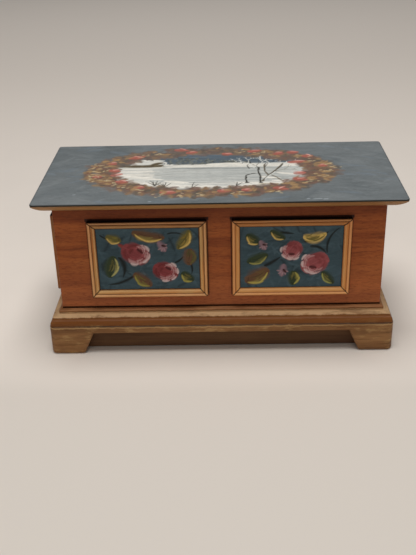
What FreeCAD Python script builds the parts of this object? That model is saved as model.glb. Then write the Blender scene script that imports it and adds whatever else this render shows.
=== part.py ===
import FreeCAD, Part
import math
import os
import re
import Sketcher

# A miniature blanket chest for a dolls' house: a box of thin boards that stands on a base, which is a
# plain frame with bracket feet planted round it and a moulding on top; four painted panels in mitred
# frames; and a lid on two brass hinges.
# Millimetres. +Z is up, +X runs along the front to the right, and +Y points to the back.
# The origin is on the floor, under the middle of the lid, which overhangs everything else.

Vector = FreeCAD.Vector
document = FreeCAD.newDocument("blanket_chest")

# ---------------------------------------------------------------- driving sizes

SIZES = [
    ("overall_height", 51.4, "floor to the top of the lid"),
    ("lid_width", 110.0, "left to right"),
    ("lid_depth", 53.5, "front to back"),
    ("lid_thickness", 3.1, "lid stock"),
    ("lid_land", 0.4, "upright edge left above the rounded under-edge"),
    ("lid_reach", 3.5, "how far the under-edge runs in from the rim"),
    ("lid_edge_radius", 9.3, "radius of the under-edge"),
    ("lid_corner", 1.2, "radius of the lid's corners seen from above"),
    ("lid_arris", 0.2, "radius that softens the lid's top edge"),
    ("lid_gap", 0.15, "air between the lid and the top of the box"),
    ("overhang_front", 5.3, "lid in front of the box"),
    ("overhang_back", 3.0, "lid behind the box, which is also the open stop"),
    ("body_width", 99.4, "outside of the box"),
    ("board", 3.0, "thickness of the box's boards"),
    ("board_corner", 0.4, "radius of the box's upright corners"),
    ("bottom_board", 2.6, "thickness of the bottom"),
    ("quirk_height", 0.6, "shadow line scribed round the box above the base moulding"),
    ("quirk_depth", 0.5, "depth of that line"),
    ("plinth_height", 9.8, "floor to the top of the plinth"),
    ("plinth_board", 4.0, "thickness of the plinth's boards"),
    ("liner", 3.0, "thickness of the plain boards behind the plinth"),
    ("liner_lift", 0.3, "floor to the bottom of those boards, so that the feet carry the chest"),
    ("plinth_bead", 0.4, "radius of the plinth's top edge"),
    ("plinth_toe", 0.8, "radius of the plinth's worn bottom edge"),
    ("projection", 4.1, "plinth in front of the box, and beside it"),
    ("base_corner", 1.8, "radius of the base's upright corners"),
    ("moulding_height", 4.6, "base moulding on top of the plinth"),
    ("arch_rise", 7.5, "floor to the top of the gap between the feet"),
    ("foot_width", 9.8, "flat of a foot on the floor"),
    ("foot_slope", 3.1, "how far a foot widens on its way up"),
    ("heel_run", 1.0, "rounded heel of a foot, along the floor"),
    ("heel_rise", 0.65, "rounded heel of a foot, up"),
    ("heel_radius", 1.1, "radius of that heel"),
    ("block", 5.0, "side of a glue block"),
    ("block_chamfer", 2.0, "corner taken off a glue block"),
    ("block_height", 8.8, "height of a glue block"),
    ("frame_width", 35.7, "outside of a picture frame, along"),
    ("frame_height", 25.25, "outside of a picture frame, up"),
    ("frame_bottom", 18.85, "floor to the lower edge of a frame"),
    ("frame_spacing", 43.3, "middle of one front frame to the middle of the other"),
    ("strip_width", 2.3, "face width of a frame strip"),
    ("strip_rise", 1.8, "frame strip in front of its board"),
    ("strip_edge", 1.5, "height of the strip's outer edge, under its bead"),
    ("strip_bead", 0.85, "width of that bead"),
    ("bead_radius", 0.45, "radius of that bead"),
    ("strip_lip", 1.05, "height of the strip's inner edge, beside the panel"),
    ("mitre_gap", 0.12, "open joint at each mitre"),
    ("panel", 0.8, "thickness of a painted panel"),
    ("panel_gap", 0.1, "air between a panel and its frame"),
    ("hinge_spacing", 64.0, "middle of one hinge to the middle of the other"),
    ("hinge_width", 9.0, "length of a hinge's barrel"),
    ("leaf_reach", 2.5, "flat of a hinge leaf, from the back of the box inwards"),
    ("leaf", 0.35, "thickness of a hinge leaf"),
    ("barrel_radius", 0.75, "outside of a hinge's barrel"),
    ("barrel_offset", 0.95, "pin's centre behind the back of the box"),
    ("barrel_clearance", 0.2, "air round the barrel in the lid's notch"),
    ("knuckle_gap", 0.12, "air between two knuckles"),
    ("pin_radius", 0.3, "hinge pin"),
    ("pin_clearance", 0.05, "running clearance of the pin, on the radius"),
    ("pin_head", 0.25, "length of each head of a pin"),
    ("pin_head_radius", 0.5, "radius of each head of a pin"),
    ("nail_spacing", 5.2, "between the two nails of a leaf"),
    ("nail_setback", 1.35, "nails in front of the back of the box"),
    ("nail_head_radius", 0.45, "flat head, let into the leaf"),
    ("nail_radius", 0.22, "shank of a nail"),
    ("nail_length", 1.7, "shank below the leaf"),
    ("nail_clearance", 0.02, "on the radius, in the leaf and in the wood"),
]

# Lengths that follow from the driving sizes, as formulas in their names.
FORMULAS = {
    "front_face": "(-lid_depth / 2 + overhang_front)",
    "back_face": "(lid_depth / 2 - overhang_back)",
    "body_depth": "(lid_depth - overhang_front - overhang_back)",
    "body_middle": "((overhang_front - overhang_back) / 2)",
    "half_body": "(body_width / 2)",
    "lid_underside": "(overall_height - lid_thickness)",
    "body_top": "(lid_underside - lid_gap)",
    "board_height": "(body_top - plinth_height)",
    "base_width": "(body_width + 2 * projection)",
    "base_side": "(body_depth + projection)",
    "base_side_middle": "(body_middle - projection / 2)",
    "liner_half": "(half_body + projection - plinth_board)",
    "liner_front": "(front_face - projection + plinth_board)",
    "liner_back": "(back_face - plinth_board)",
    "liner_height": "(plinth_height - liner_lift)",
    "frame_middle": "(frame_bottom + frame_height / 2)",
    "pin_behind": "(back_face + barrel_offset)",
    "pin_height": "(body_top + lid_gap / 2)",
    "knuckle": "(hinge_width / 3 - knuckle_gap)",
    "notch": "(barrel_radius + barrel_clearance)",
    "nail_line": "(back_face - nail_setback)",
}

PAST = 2.0          # how far a cutting outline runs past the wood it cuts
ROUND = 1e-6        # two lengths this close are the same

sheet = document.addObject("Spreadsheet::Sheet", "Sizes")
for row, (name, value, note) in enumerate(SIZES, start=1):
    sheet.set(f"A{row}", name)
    sheet.set(f"B{row}", str(value))
    sheet.set(f"C{row}", note)
    sheet.setAlias(f"B{row}", name)
document.recompute()

DRIVING = {name for name, _, _ in SIZES}
PARTS = []


# ---------------------------------------------------------------- helpers

def formula(text):
    """An expression with every size replaced by its cell, and every formula by what it stands for."""
    def swap(match):
        word = match.group(0)
        if word in DRIVING:
            return "Sizes." + word
        if word in FORMULAS:
            return formula(FORMULAS[word])
        return word
    return re.sub(r"[a-z][a-z_]*", swap, str(text))


def worth(text):
    """The number that an expression has now."""
    return float(sheet.evalExpression(formula(text)))


def bind(item, **lengths):
    """Bind properties of an object to expressions."""
    for name, text in lengths.items():
        item.setExpression(name, formula(text))


def place(item, x="0", y="0", z="0", turn=None):
    """Turn an object, and bind where it stands."""
    item.Placement = FreeCAD.Placement(Vector(), turn or FreeCAD.Rotation())
    for axis, text in zip("xyz", (x, y, z)):
        item.setExpression("Placement.Base." + axis, formula(text))


def keep(item, label):
    """Name an object as a finished sub-part of the chest."""
    item.Label = label
    PARTS.append(item)
    return item


def about(axis, degrees):
    """A turn about the X, Y or Z axis."""
    direction = {"X": Vector(1, 0, 0), "Y": Vector(0, 1, 0), "Z": Vector(0, 0, 1)}[axis]
    return FreeCAD.Rotation(direction, degrees)


def new_body(label):
    """An empty PartDesign body that becomes a sub-part."""
    return keep(document.addObject("PartDesign::Body", label), label)


def new_sketch(body, name, plane):
    """A sketch on one of the body's own origin planes."""
    sketch = body.newObject("Sketcher::SketchObject", f"{body.Label}_{name}")
    origin_plane = next(f for f in body.Origin.OriginFeatures if f.Role == plane)
    sketch.AttachmentSupport = [(origin_plane, "")]
    sketch.MapMode = "FlatFace"
    return sketch


def arc_between(start, end, radius, side):
    """The short arc from start to end, with its centre on the left (+1) or the right (-1)."""
    chord = end - start
    rise = math.sqrt(radius ** 2 - (chord.Length / 2) ** 2)
    left = Vector(-chord.y, chord.x, 0).normalize()
    centre = (start + end) / 2 + left * rise * side
    first, last = (start, end) if side > 0 else (end, start)
    angles = [math.atan2(p.y - centre.y, p.x - centre.x) for p in (first, last)]
    return Part.ArcOfCircle(Part.Circle(centre, Vector(0, 0, 1), radius), *angles)


def outline(sketch, corners):
    """A closed outline. Each corner is (x, y), or (x, y, radius, side) where an arc leaves it."""
    points = [Vector(worth(c[0]), worth(c[1]), 0) for c in corners]
    edges = []
    for index, corner in enumerate(corners):
        start, end = points[index], points[(index + 1) % len(points)]
        if len(corner) == 2:
            edges.append((sketch.addGeometry(Part.LineSegment(start, end), False), 1, 2))
            continue
        radius, side = corner[2:]
        edge = sketch.addGeometry(arc_between(start, end, worth(radius), side), False)
        edges.append((edge, 1, 2) if side > 0 else (edge, 2, 1))
        limit = sketch.addConstraint(Sketcher.Constraint("Radius", edge, worth(radius)))
        sketch.setExpression(f"Constraints[{limit}]", formula(radius))
    for index, (edge, begins, _) in enumerate(edges):
        before, _, ends = edges[index - 1]
        sketch.addConstraint(Sketcher.Constraint("Coincident", before, ends, edge, begins))
        for kind, text in zip(("DistanceX", "DistanceY"), corners[index][:2]):
            gauge = Sketcher.Constraint(kind, -1, 1, edge, begins, worth(text))
            sketch.setExpression(f"Constraints[{sketch.addConstraint(gauge)}]", formula(text))


def pad(body, plane, corners, length, middle=False):
    """Draw an outline and push it out into a solid, both ways from the plane if middle is set."""
    sketch = new_sketch(body, "outline", plane)
    outline(sketch, corners)
    feature = body.newObject("PartDesign::Pad", f"{body.Label}_pad")
    feature.Profile = sketch
    feature.SideType = "Symmetric" if middle else "One side"
    bind(feature, Length=length)
    document.recompute()
    return feature


def pocket(body, name, plane, outlines, length):
    """Cut outlines out of a body, half of the length to each side of the plane."""
    before = body.Shape.Volume
    sketch = new_sketch(body, name, plane)
    for corners in outlines:
        outline(sketch, corners)
    feature = body.newObject("PartDesign::Pocket", f"{body.Label}_{name}_cut")
    feature.Profile = sketch
    feature.Type = "Length"
    feature.SideType = "Symmetric"
    bind(feature, Length=length)
    document.recompute()
    if body.Shape.Volume > before - ROUND:
        raise RuntimeError(f"{feature.Label} cuts nothing")


def soften(body, name, radius, belongs):
    """Round the edges whose points all pass a test."""
    base = body.Tip
    chosen = []
    for number, edge in enumerate(base.Shape.Edges, start=1):
        if all(belongs(point) for point in edge.discretize(5)):
            chosen.append(f"Edge{number}")
    feature = body.newObject("PartDesign::Fillet", f"{body.Label}_{name}")
    feature.Base = (base, chosen)
    bind(feature, Radius=radius)
    document.recompute()


def rectangle(left, right, low, high):
    """The four corners of an upright rectangle."""
    return [(left, low), (right, low), (right, high), (left, high)]


def wooden_box(label, length, width, height):
    """A plain board or block."""
    board = keep(document.addObject("Part::Box", label), label)
    bind(board, Length=length, Width=width, Height=height)
    return board


# ---------------------------------------------------------------- the box

def box_board(label, length, rounded, scribed):
    """A board on edge: X along it, Y from its outer face inwards, Z up from the plinth."""
    body = new_body(label)
    half = f"({length}) / 2"
    if rounded:
        plan = [(f"-{half} + board_corner", "0"), (f"{half} - board_corner", "0", "board_corner", 1),
                (half, "board_corner"), (half, "board"),
                (f"-{half}", "board"), (f"-{half}", "board_corner", "board_corner", 1)]
    else:
        plan = rectangle(f"-{half}", half, "0", "board")
    pad(body, "XY_Plane", plan, "board_height")
    if scribed:
        line = rectangle(f"-{PAST}", "quirk_depth", "moulding_height", "moulding_height + quirk_height")
        pocket(body, "shadow_line", "YZ_Plane", [line], f"{length} + {PAST}")
    return body


front_board = box_board("front_board", "body_width", rounded=True, scribed=True)
place(front_board, y="front_face", z="plinth_height")

back_board = box_board("back_board", "body_width", rounded=True, scribed=False)
place(back_board, y="back_face", z="plinth_height", turn=about("Z", 180))

for side, x, degrees in (("left", "-half_body", -90), ("right", "half_body", 90)):
    side_board = box_board(f"{side}_side_board", "body_depth - 2 * board", rounded=False, scribed=True)
    place(side_board, x=x, y="body_middle", z="plinth_height", turn=about("Z", degrees))

bottom = wooden_box("bottom_board", "body_width - 2 * board", "body_depth - 2 * board", "bottom_board")
place(bottom, x="-half_body + board", y="front_face + board", z="plinth_height")


# ---------------------------------------------------------------- strips with mitred ends

def mitred_strip(label, profile, length, depth, height, mitres):
    """A moulded strip: X along it, Y from its outer edge inwards, and Z up through its profile."""
    body = new_body(label)
    pad(body, "YZ_Plane", profile, length, middle=True)
    half = f"({length}) / 2"
    cuts = []
    for end in mitres:
        sign = "" if end == "right" else "-"
        corner = f"({half} - mitre_gap / 2)"
        cuts.append([(f"{sign}({corner} + {PAST})", f"-{PAST}"),
                     (f"{sign}({corner} - {depth} - {PAST})", f"{depth} + {PAST}"),
                     (f"{sign}({corner} + {PAST})", f"{depth} + {PAST}")])
    pocket(body, "mitres", "XY_Plane", cuts, f"2 * ({height} + {PAST})")
    return body


def round_base_corners(body, length, ends):
    """Round the upright corner at each named end, with the base's corner radius."""
    half = f"({length}) / 2"
    cuts = []
    for end in ends:
        sign, turn = ("", 1) if end == "right" else ("-", -1)
        cuts.append([(f"{sign}({half} - base_corner)", "0", "base_corner", turn),
                     (f"{sign}{half}", "base_corner"),
                     (f"{sign}({half} + {PAST})", "base_corner"),
                     (f"{sign}({half} + {PAST})", f"-{PAST}"),
                     (f"{sign}({half} - base_corner)", f"-{PAST}")])
    pocket(body, "round_corners", "XY_Plane", cuts, f"4 * plinth_height")


# ---------------------------------------------------------------- the base

# Section of the base moulding: a small fillet under the box, a quirk, a broad bevel and an ogee.
# Y runs inwards from the plinth's outer face, Z up from the plinth's top.
MOULDING = [
    ("projection", "0"), ("0.35", "0"), ("0.4", "0.2", "2.6", -1), ("0.75", "1.7", "0.8", 1),
    ("1.2", "2.75"), ("3.05", "3.1"), ("3.25", "3.1"), ("3.25", "3.35"), ("3.1", "3.45"),
    ("3.1", "moulding_height - 0.4"), ("3.3", "moulding_height - 0.15"),
    ("projection - 0.1", "moulding_height"), ("projection", "moulding_height"),
]

# Section of a plinth board, before its edges are softened.
PLINTH = rectangle("0", "plinth_board", "0", "plinth_height")

BASE_RUNS = {
    "front": ("base_width", ("left", "right"), "0", "front_face - projection", 0),
    "left": ("base_side", ("right",), "-half_body - projection", "base_side_middle", -90),
    "right": ("base_side", ("left",), "half_body + projection", "base_side_middle", 90),
}


def cut_arch(body, length, inset="0"):
    """Cut the gap between two bracket feet; inset is what the board lacks at each end."""
    toe = f"(({length}) / 2 + {inset} - foot_width)"
    heel = f"({toe} - heel_run)"
    top = f"({heel} - foot_slope)"
    arch = [(f"-{toe}", "0", "heel_radius", 1), (f"-{heel}", "heel_rise"), (f"-{top}", "arch_rise"),
            (top, "arch_rise"), (heel, "heel_rise", "heel_radius", 1), (toe, "0"),
            (toe, f"-{PAST}"), (f"-{toe}", f"-{PAST}")]
    pocket(body, "arch", "XZ_Plane", [arch], f"2 * (plinth_board + {PAST})")


def soften_plinth(body):
    """Round the outer top edge to a bead, and wear the outer bottom edge, corners included."""
    corner = worth("base_corner")
    half = body.Shape.BoundBox.XLength / 2 - corner

    def outer(point):
        return point.y < ROUND or (point.y < corner + ROUND and abs(point.x) > half)

    soften(body, "bead", "plinth_bead", lambda p: outer(p) and p.z > worth("plinth_height") - ROUND)
    soften(body, "toe", "plinth_toe", lambda p: outer(p) and p.z < ROUND)


for name, (length, ends, x, y, degrees) in BASE_RUNS.items():
    turn = about("Z", degrees)
    moulding = mitred_strip(f"{name}_base_moulding", MOULDING, length, "projection", "moulding_height", ends)
    round_base_corners(moulding, length, ends)
    place(moulding, x=x, y=y, z="plinth_height", turn=turn)
    plinth = mitred_strip(f"{name}_plinth", PLINTH, length, "plinth_board", "plinth_height", ends)
    round_base_corners(plinth, length, ends)
    cut_arch(plinth, length)
    place(plinth, x=x, y=y, turn=turn)

back_plinth = new_body("back_plinth")
BACK_LENGTH = "base_width - 2 * plinth_board"
pad(back_plinth, "YZ_Plane", PLINTH, BACK_LENGTH, middle=True)
cut_arch(back_plinth, BACK_LENGTH, inset="plinth_board")
place(back_plinth, y="back_face", turn=about("Z", 180))

# The plain frame behind the plinth, which shows as a dark board in the gap between the feet.
LINER_SIDE = "liner_back - liner_front - 2 * liner"
LINERS = {
    "front": ("2 * liner_half", "liner", "-liner_half", "liner_front"),
    "back": ("2 * liner_half", "liner", "-liner_half", "liner_back - liner"),
    "left": ("liner", LINER_SIDE, "-liner_half", "liner_front + liner"),
    "right": ("liner", LINER_SIDE, "liner_half - liner", "liner_front + liner"),
}
for name, (length, width, x, y) in LINERS.items():
    liner_board = wooden_box(f"{name}_base_liner", length, width, "liner_height")
    place(liner_board, x=x, y=y, z="liner_lift")

BLOCK = [("0", "0"), ("block", "0"), ("block", "block - block_chamfer"),
         ("block - block_chamfer", "block"), ("0", "block")]
CORNERS = {
    "front_left": ("-liner_half + liner", "liner_front + liner", 0),
    "front_right": ("liner_half - liner", "liner_front + liner", 90),
    "back_right": ("liner_half - liner", "liner_back - liner", 180),
    "back_left": ("-liner_half + liner", "liner_back - liner", 270),
}
for name, (x, y, degrees) in CORNERS.items():
    block = new_body(f"{name}_glue_block")
    pad(block, "XY_Plane", BLOCK, "block_height")
    place(block, x=x, y=y, z="plinth_height - block_height", turn=about("Z", degrees))


# ---------------------------------------------------------------- painted panels in their frames

# Section of a frame strip: a bead along the outer edge, a groove, and a round that falls to the panel.
STRIP = [
    ("0", "0"), ("strip_width", "0"), ("strip_width", "strip_lip"),
    ("strip_width - 0.2", "strip_lip", "1.3", 1), ("strip_bead + 0.2", "strip_edge + 0.05"),
    ("strip_bead + 0.15", "strip_edge - 0.25"), ("strip_bead", "strip_edge - 0.25"),
    ("strip_bead", "strip_edge", "bead_radius", 1), ("0", "strip_edge"),
]

# The front has two frames and the left end has one. The right end is a plain board.
FRAMES = {
    "front_left": (0, "-frame_spacing / 2", "front_face"),
    "front_right": (0, "frame_spacing / 2", "front_face"),
    "left_end": (-90, "-half_body", "body_middle"),
}

for name, (degrees, x, y) in FRAMES.items():
    along = about("Z", degrees).multVec(Vector(1, 0, 0))
    upright = about("Z", degrees).multiply(about("X", 90))
    ring = (("bottom", "frame_width", 0, "0", "-frame_height / 2"),
            ("right", "frame_height", 90, "frame_width / 2", "0"),
            ("top", "frame_width", 180, "0", "frame_height / 2"),
            ("left", "frame_height", 270, "-frame_width / 2", "0"))
    for side, length, quarter, across, up in ring:
        strip = mitred_strip(f"{name}_frame_{side}", STRIP, length, "strip_width", "strip_rise",
                             ("left", "right"))
        place(strip, x=f"{x} + {round(along.x)} * ({across})", y=f"{y} + {round(along.y)} * ({across})",
              z=f"frame_middle + {up}", turn=upright.multiply(about("Z", quarter)))
    wide = "(frame_width - 2 * strip_width - 2 * panel_gap)"
    tall = "(frame_height - 2 * strip_width - 2 * panel_gap)"
    panel = wooden_box(f"{name}_panel", wide, tall, "panel")
    place(panel, x=f"{x} - {round(along.x)} * {wide} / 2", y=f"{y} - {round(along.y)} * {wide} / 2",
          z=f"frame_middle - {tall} / 2", turn=upright)


# ---------------------------------------------------------------- the lid

lid = new_body("lid_board")
right, back = "lid_width / 2", "lid_depth / 2"
pad(lid, "XY_Plane", [
    (f"-{right} + lid_corner", f"-{back}"), (f"{right} - lid_corner", f"-{back}", "lid_corner", 1),
    (right, f"-{back} + lid_corner"), (right, f"{back} - lid_corner", "lid_corner", 1),
    (f"{right} - lid_corner", back), (f"-{right} + lid_corner", back, "lid_corner", 1),
    (f"-{right}", f"{back} - lid_corner"), (f"-{right}", f"-{back} + lid_corner", "lid_corner", 1),
], "lid_thickness")


def under_edge(rim, sign):
    """The waste under a rounded edge, at the rim on one side of the lid."""
    return [(f"{sign}({rim} + {PAST})", "lid_thickness - lid_land"),
            (f"{sign}({rim})", "lid_thickness - lid_land", "lid_edge_radius", 1 if sign else -1),
            (f"{sign}({rim} - lid_reach)", "0"), (f"{sign}({rim} - lid_reach)", f"-{PAST}"),
            (f"{sign}({rim} + {PAST})", f"-{PAST}")]


pocket(lid, "front_edge", "YZ_Plane", [under_edge(back, "-")], f"lid_width + {PAST}")
pocket(lid, "end_edges", "XZ_Plane", [under_edge(right, "-"), under_edge(right, "")],
       f"lid_depth + {PAST}")
soften(lid, "arris", "lid_arris", lambda p: p.z > worth("lid_thickness") - ROUND)
place(lid, z="lid_underside")


# ---------------------------------------------------------------- hinges

HINGES = {"left": "-hinge_spacing / 2", "right": "hinge_spacing / 2"}


def drill(body, name, outlines, level, depth):
    """Cut outlines to a depth below a level, and as far above it, where there is only air."""
    before = body.Shape.Volume
    sketch = new_sketch(body, name, "XY_Plane")
    sketch.setExpression("AttachmentOffset.Base.z", formula(level))
    for corners in outlines:
        outline(sketch, corners)
    finish_cut(body, name, sketch, depth, before)


def bore(body, name, centres, level, depth):
    """Bore nail holes to a depth below a level, and as far above it, where there is only air."""
    before = body.Shape.Volume
    sketch = new_sketch(body, name, "XY_Plane")
    sketch.setExpression("AttachmentOffset.Base.z", formula(level))
    size = "nail_radius + nail_clearance"
    for x, y in centres:
        centre = Vector(worth(x), worth(y), 0)
        ring = sketch.addGeometry(Part.Circle(centre, Vector(0, 0, 1), worth(size)), False)
        for kind, text in (("DistanceX", x), ("DistanceY", y)):
            gauge = sketch.addConstraint(Sketcher.Constraint(kind, -1, 1, ring, 3, worth(text)))
            sketch.setExpression(f"Constraints[{gauge}]", formula(text))
        gauge = sketch.addConstraint(Sketcher.Constraint("Radius", ring, worth(size)))
        sketch.setExpression(f"Constraints[{gauge}]", formula(size))
    finish_cut(body, name, sketch, depth, before)


def finish_cut(body, name, sketch, depth, before):
    """Pocket a sketch to a depth on both sides of it, and check that it cut."""
    feature = body.newObject("PartDesign::Pocket", f"{body.Label}_{name}_cut")
    feature.Profile = sketch
    feature.Type = "Length"
    feature.SideType = "Symmetric"
    bind(feature, Length=f"2 * ({depth})")
    document.recompute()
    if body.Shape.Volume > before - ROUND:
        raise RuntimeError(f"{feature.Label} cuts nothing")


def let_in(body, back_edge, run_out, level, inwards):
    """Let both hinges into a board: a seat for each leaf and a hole for each nail.

    The seats lie at a level. They run leaf_reach from the board's back edge, inwards being +1 or -1
    along Y, and run_out the other way.
    """
    seats, holes = [], []
    half = "(hinge_width / 2 + nail_clearance)"
    inner = f"{back_edge} + {inwards} * (leaf_reach + nail_clearance)"
    outer = f"{back_edge} - {inwards} * {run_out}"
    low, high = sorted((inner, outer), key=worth)
    for middle in HINGES.values():
        seats.append(rectangle(f"{middle} - {half}", f"{middle} + {half}", low, high))
        for step in ("-nail_spacing / 2", "nail_spacing / 2"):
            holes.append((f"{middle} + {step}", f"{back_edge} + {inwards} * nail_setback"))
    drill(body, "leaf_seats", seats, level, "leaf")
    bore(body, "nail_holes", holes, level, "leaf + nail_length")


let_in(back_board, "0", PAST, "board_height", 1)
let_in(lid, "(lid_depth / 2 - overhang_back)", "barrel_offset", "0", -1)

barrel_line = "(lid_depth / 2 - overhang_back + barrel_offset)"
notches = []
for middle in HINGES.values():
    half = "(hinge_width / 2 + pin_head + barrel_clearance)"
    notches.append(rectangle(f"{middle} - {half}", f"{middle} + {half}",
                             f"{barrel_line} - notch", f"{barrel_line} + notch"))
drill(lid, "barrel_notches", notches, "0", "notch - lid_gap / 2")


def hinge_leaf(label, middle, knuckles, low):
    """A leaf with its knuckles: X along the pin, and the origin on the pin's centre."""
    flat = document.addObject("Part::Box", f"{label}_flat")
    bind(flat, Length="hinge_width", Width="leaf_reach + barrel_offset - notch", Height="leaf")
    place(flat, x="-hinge_width / 2", y="-leaf_reach - barrel_offset", z=low)
    pieces = [flat]
    for number, start in enumerate(knuckles):
        tab = document.addObject("Part::Box", f"{label}_tab_{number}")
        bind(tab, Length="knuckle", Width="notch", Height="leaf")
        place(tab, x=start, y="-notch", z=low)
        barrel = document.addObject("Part::Cylinder", f"{label}_barrel_{number}")
        bind(barrel, Radius="barrel_radius", Height="knuckle")
        place(barrel, x=start, turn=about("Y", 90))
        pieces += [tab, barrel]
    whole = document.addObject("Part::MultiFuse", f"{label}_whole")
    whole.Shapes = pieces
    holes = []
    hole = document.addObject("Part::Cylinder", f"{label}_pin_hole")
    bind(hole, Radius="pin_radius + pin_clearance", Height=f"hinge_width + 2 * {PAST}")
    place(hole, x=f"-hinge_width / 2 - {PAST}", turn=about("Y", 90))
    holes.append(hole)
    for number, step in enumerate(("-nail_spacing / 2", "nail_spacing / 2")):
        hole = document.addObject("Part::Cylinder", f"{label}_nail_hole_{number}")
        bind(hole, Radius="nail_head_radius + nail_clearance", Height=f"leaf + 2 * {PAST}")
        place(hole, x=step, y="-nail_setback - barrel_offset", z=f"{low} - {PAST}")
        holes.append(hole)
    bores = document.addObject("Part::MultiFuse", f"{label}_holes")
    bores.Shapes = holes
    leaf = document.addObject("Part::Cut", label)
    leaf.Base = whole
    leaf.Tool = bores
    place(leaf, x=middle, y="pin_behind", z="pin_height")
    keep(leaf, label)


OUTER = ("-hinge_width / 2", "hinge_width / 2 - knuckle")
MIDDLE = ("-knuckle / 2",)
for side, middle in HINGES.items():
    hinge_leaf(f"{side}_hinge_chest_leaf", middle, OUTER, "-lid_gap / 2 - leaf")
    hinge_leaf(f"{side}_hinge_lid_leaf", middle, MIDDLE, "lid_gap / 2")
    pin = new_body(f"{side}_hinge_pin")
    end, tip = "hinge_width / 2", "(hinge_width / 2 + pin_head)"
    sketch = new_sketch(pin, "half_section", "XY_Plane")
    outline(sketch, [(f"-{tip}", "0"), (tip, "0"), (tip, "pin_head_radius"), (end, "pin_head_radius"),
                     (end, "pin_radius"), (f"-{end}", "pin_radius"), (f"-{end}", "pin_head_radius"),
                     (f"-{tip}", "pin_head_radius")])
    turned = pin.newObject("PartDesign::Revolution", f"{pin.Label}_turned")
    turned.Profile = sketch
    turned.ReferenceAxis = (sketch, ["H_Axis"])
    turned.Angle = 360
    place(pin, x=middle, y="pin_behind", z="pin_height")


def hinge_nails(label, face, up):
    """The four nails of two leaves, each a flat head and a shank; up is +1 or -1 from the face."""
    pieces = []
    for side, middle in HINGES.items():
        for number, step in enumerate(("-nail_spacing / 2", "nail_spacing / 2")):
            turn = about("X", 0 if up > 0 else 180)
            for kind, radius, height in (("head", "nail_head_radius", "leaf"),
                                         ("shank", "nail_radius", "leaf + nail_length")):
                piece = document.addObject("Part::Cylinder", f"{label}_{side}_{kind}_{number}")
                bind(piece, Radius=radius, Height=height)
                place(piece, x=f"{middle} + {step}", y="nail_line", z=face, turn=turn)
                pieces.append(piece)
    nails = document.addObject("Part::MultiFuse", label)
    nails.Shapes = pieces
    keep(nails, label)


hinge_nails("chest_hinge_nails", "body_top", -1)
hinge_nails("lid_hinge_nails", "lid_underside", 1)


# ---------------------------------------------------------------- softened edges of the plinth

for name, (length, ends, x, y, degrees) in BASE_RUNS.items():
    soften_plinth(document.getObjectsByLabel(f"{name}_plinth")[0])


# ---------------------------------------------------------------- checks, and the files

document.recompute()
for item in document.Objects:
    if "Invalid" in item.State or "Error" in item.State:
        raise RuntimeError(f"{item.Label} failed: {item.State}")
for item in PARTS:
    if item.Shape.isNull() or not item.Shape.isValid() or not item.Shape.Solids:
        raise RuntimeError(f"{item.Label} has no valid solid")

os.makedirs("parts", exist_ok=True)
for item in PARTS:
    item.Shape.exportStep(f"parts/{item.Label}.step")

box = Part.makeCompound([item.Shape for item in PARTS]).optimalBoundingBox(False, False)
print(f"{len(PARTS)} sub-parts, {box.XLength:.2f} x {box.YLength:.2f} x {box.ZLength:.2f} mm")
print(f"lowest corner {box.XMin:.2f}, {box.YMin:.2f}, {box.ZMin:.2f}")
print(f"hinge pin at y {worth('pin_behind'):.3f}, z {worth('pin_height'):.3f}")
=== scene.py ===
# %% [markdown]
# # A painted blanket chest for a dolls' house
#
# The chest is 110 mm long, one twelfth of a real one. Its boards, mouldings, frames and hinges already
# exist as solids, and this lesson gives them their finishes: a reddish stain on the box, rubbed
# gold-brown paint on the base and the frames, and decorative painting on the lid and on the panels.
# The solids stay as they are. Everything new is a film of paint with its own thickness, so the brush
# strokes can be felt as well as seen.

# %% Load the chest
import functools
import math

import bpy
import numpy as np
from mathutils import Matrix, Vector


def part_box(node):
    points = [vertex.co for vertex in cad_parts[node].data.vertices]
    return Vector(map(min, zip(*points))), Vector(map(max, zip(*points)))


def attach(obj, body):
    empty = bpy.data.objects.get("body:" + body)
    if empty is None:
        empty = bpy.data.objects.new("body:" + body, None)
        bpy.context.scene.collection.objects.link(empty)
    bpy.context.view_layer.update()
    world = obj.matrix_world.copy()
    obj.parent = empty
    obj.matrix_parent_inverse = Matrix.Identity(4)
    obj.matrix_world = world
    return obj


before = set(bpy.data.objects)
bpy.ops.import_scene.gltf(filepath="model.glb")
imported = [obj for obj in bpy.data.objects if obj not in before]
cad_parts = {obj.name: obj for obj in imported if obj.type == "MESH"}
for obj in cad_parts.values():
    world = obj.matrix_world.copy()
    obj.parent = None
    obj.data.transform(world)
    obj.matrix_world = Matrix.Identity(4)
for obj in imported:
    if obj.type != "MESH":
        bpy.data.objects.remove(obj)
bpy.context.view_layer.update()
MM = 0.001


# %% [markdown]
# ## Measuring the chest
#
# Every place comes from the solids themselves. Painters think in millimetres, so the boxes are turned
# into millimetres once, and all the painting below uses them.

# %% Boxes in millimetres
def box_mm(node):
    """Lowest and highest corner of a piece, in millimetres."""
    low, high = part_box(node)
    return np.array(low) / MM, np.array(high) / MM


lid_low, lid_high = box_mm("lid_board")
body_low, body_high = box_mm("front_board")
left_high = box_mm("left_side_board")[1]
back_high = box_mm("back_board")[1]
frame_low, frame_high = box_mm("front_right_frame_left")
frame_far = box_mm("front_right_frame_right")[1]
end_corners = box_mm("left_end_frame_left") + box_mm("left_end_frame_right")
end_low, end_high = np.min(end_corners, axis=0), np.max(end_corners, axis=0)
plinth_high = box_mm("front_plinth")[1]
base_low, base_high = box_mm("front_base_moulding")
frame_top, body_top, lid_top = frame_high[2], body_high[2], lid_high[2]
print("lid top", lid_top, "box front", body_low[1], "base", plinth_high[2], base_high[2])


# %% [markdown]
# ## Colours
#
# Paint cards give a colour as three numbers from 0 to 255, the way a screen shows it. Blender mixes
# colours as amounts of light, so each one is converted first. Skipping this step makes every mixture
# of two paints look too pale.

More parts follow.
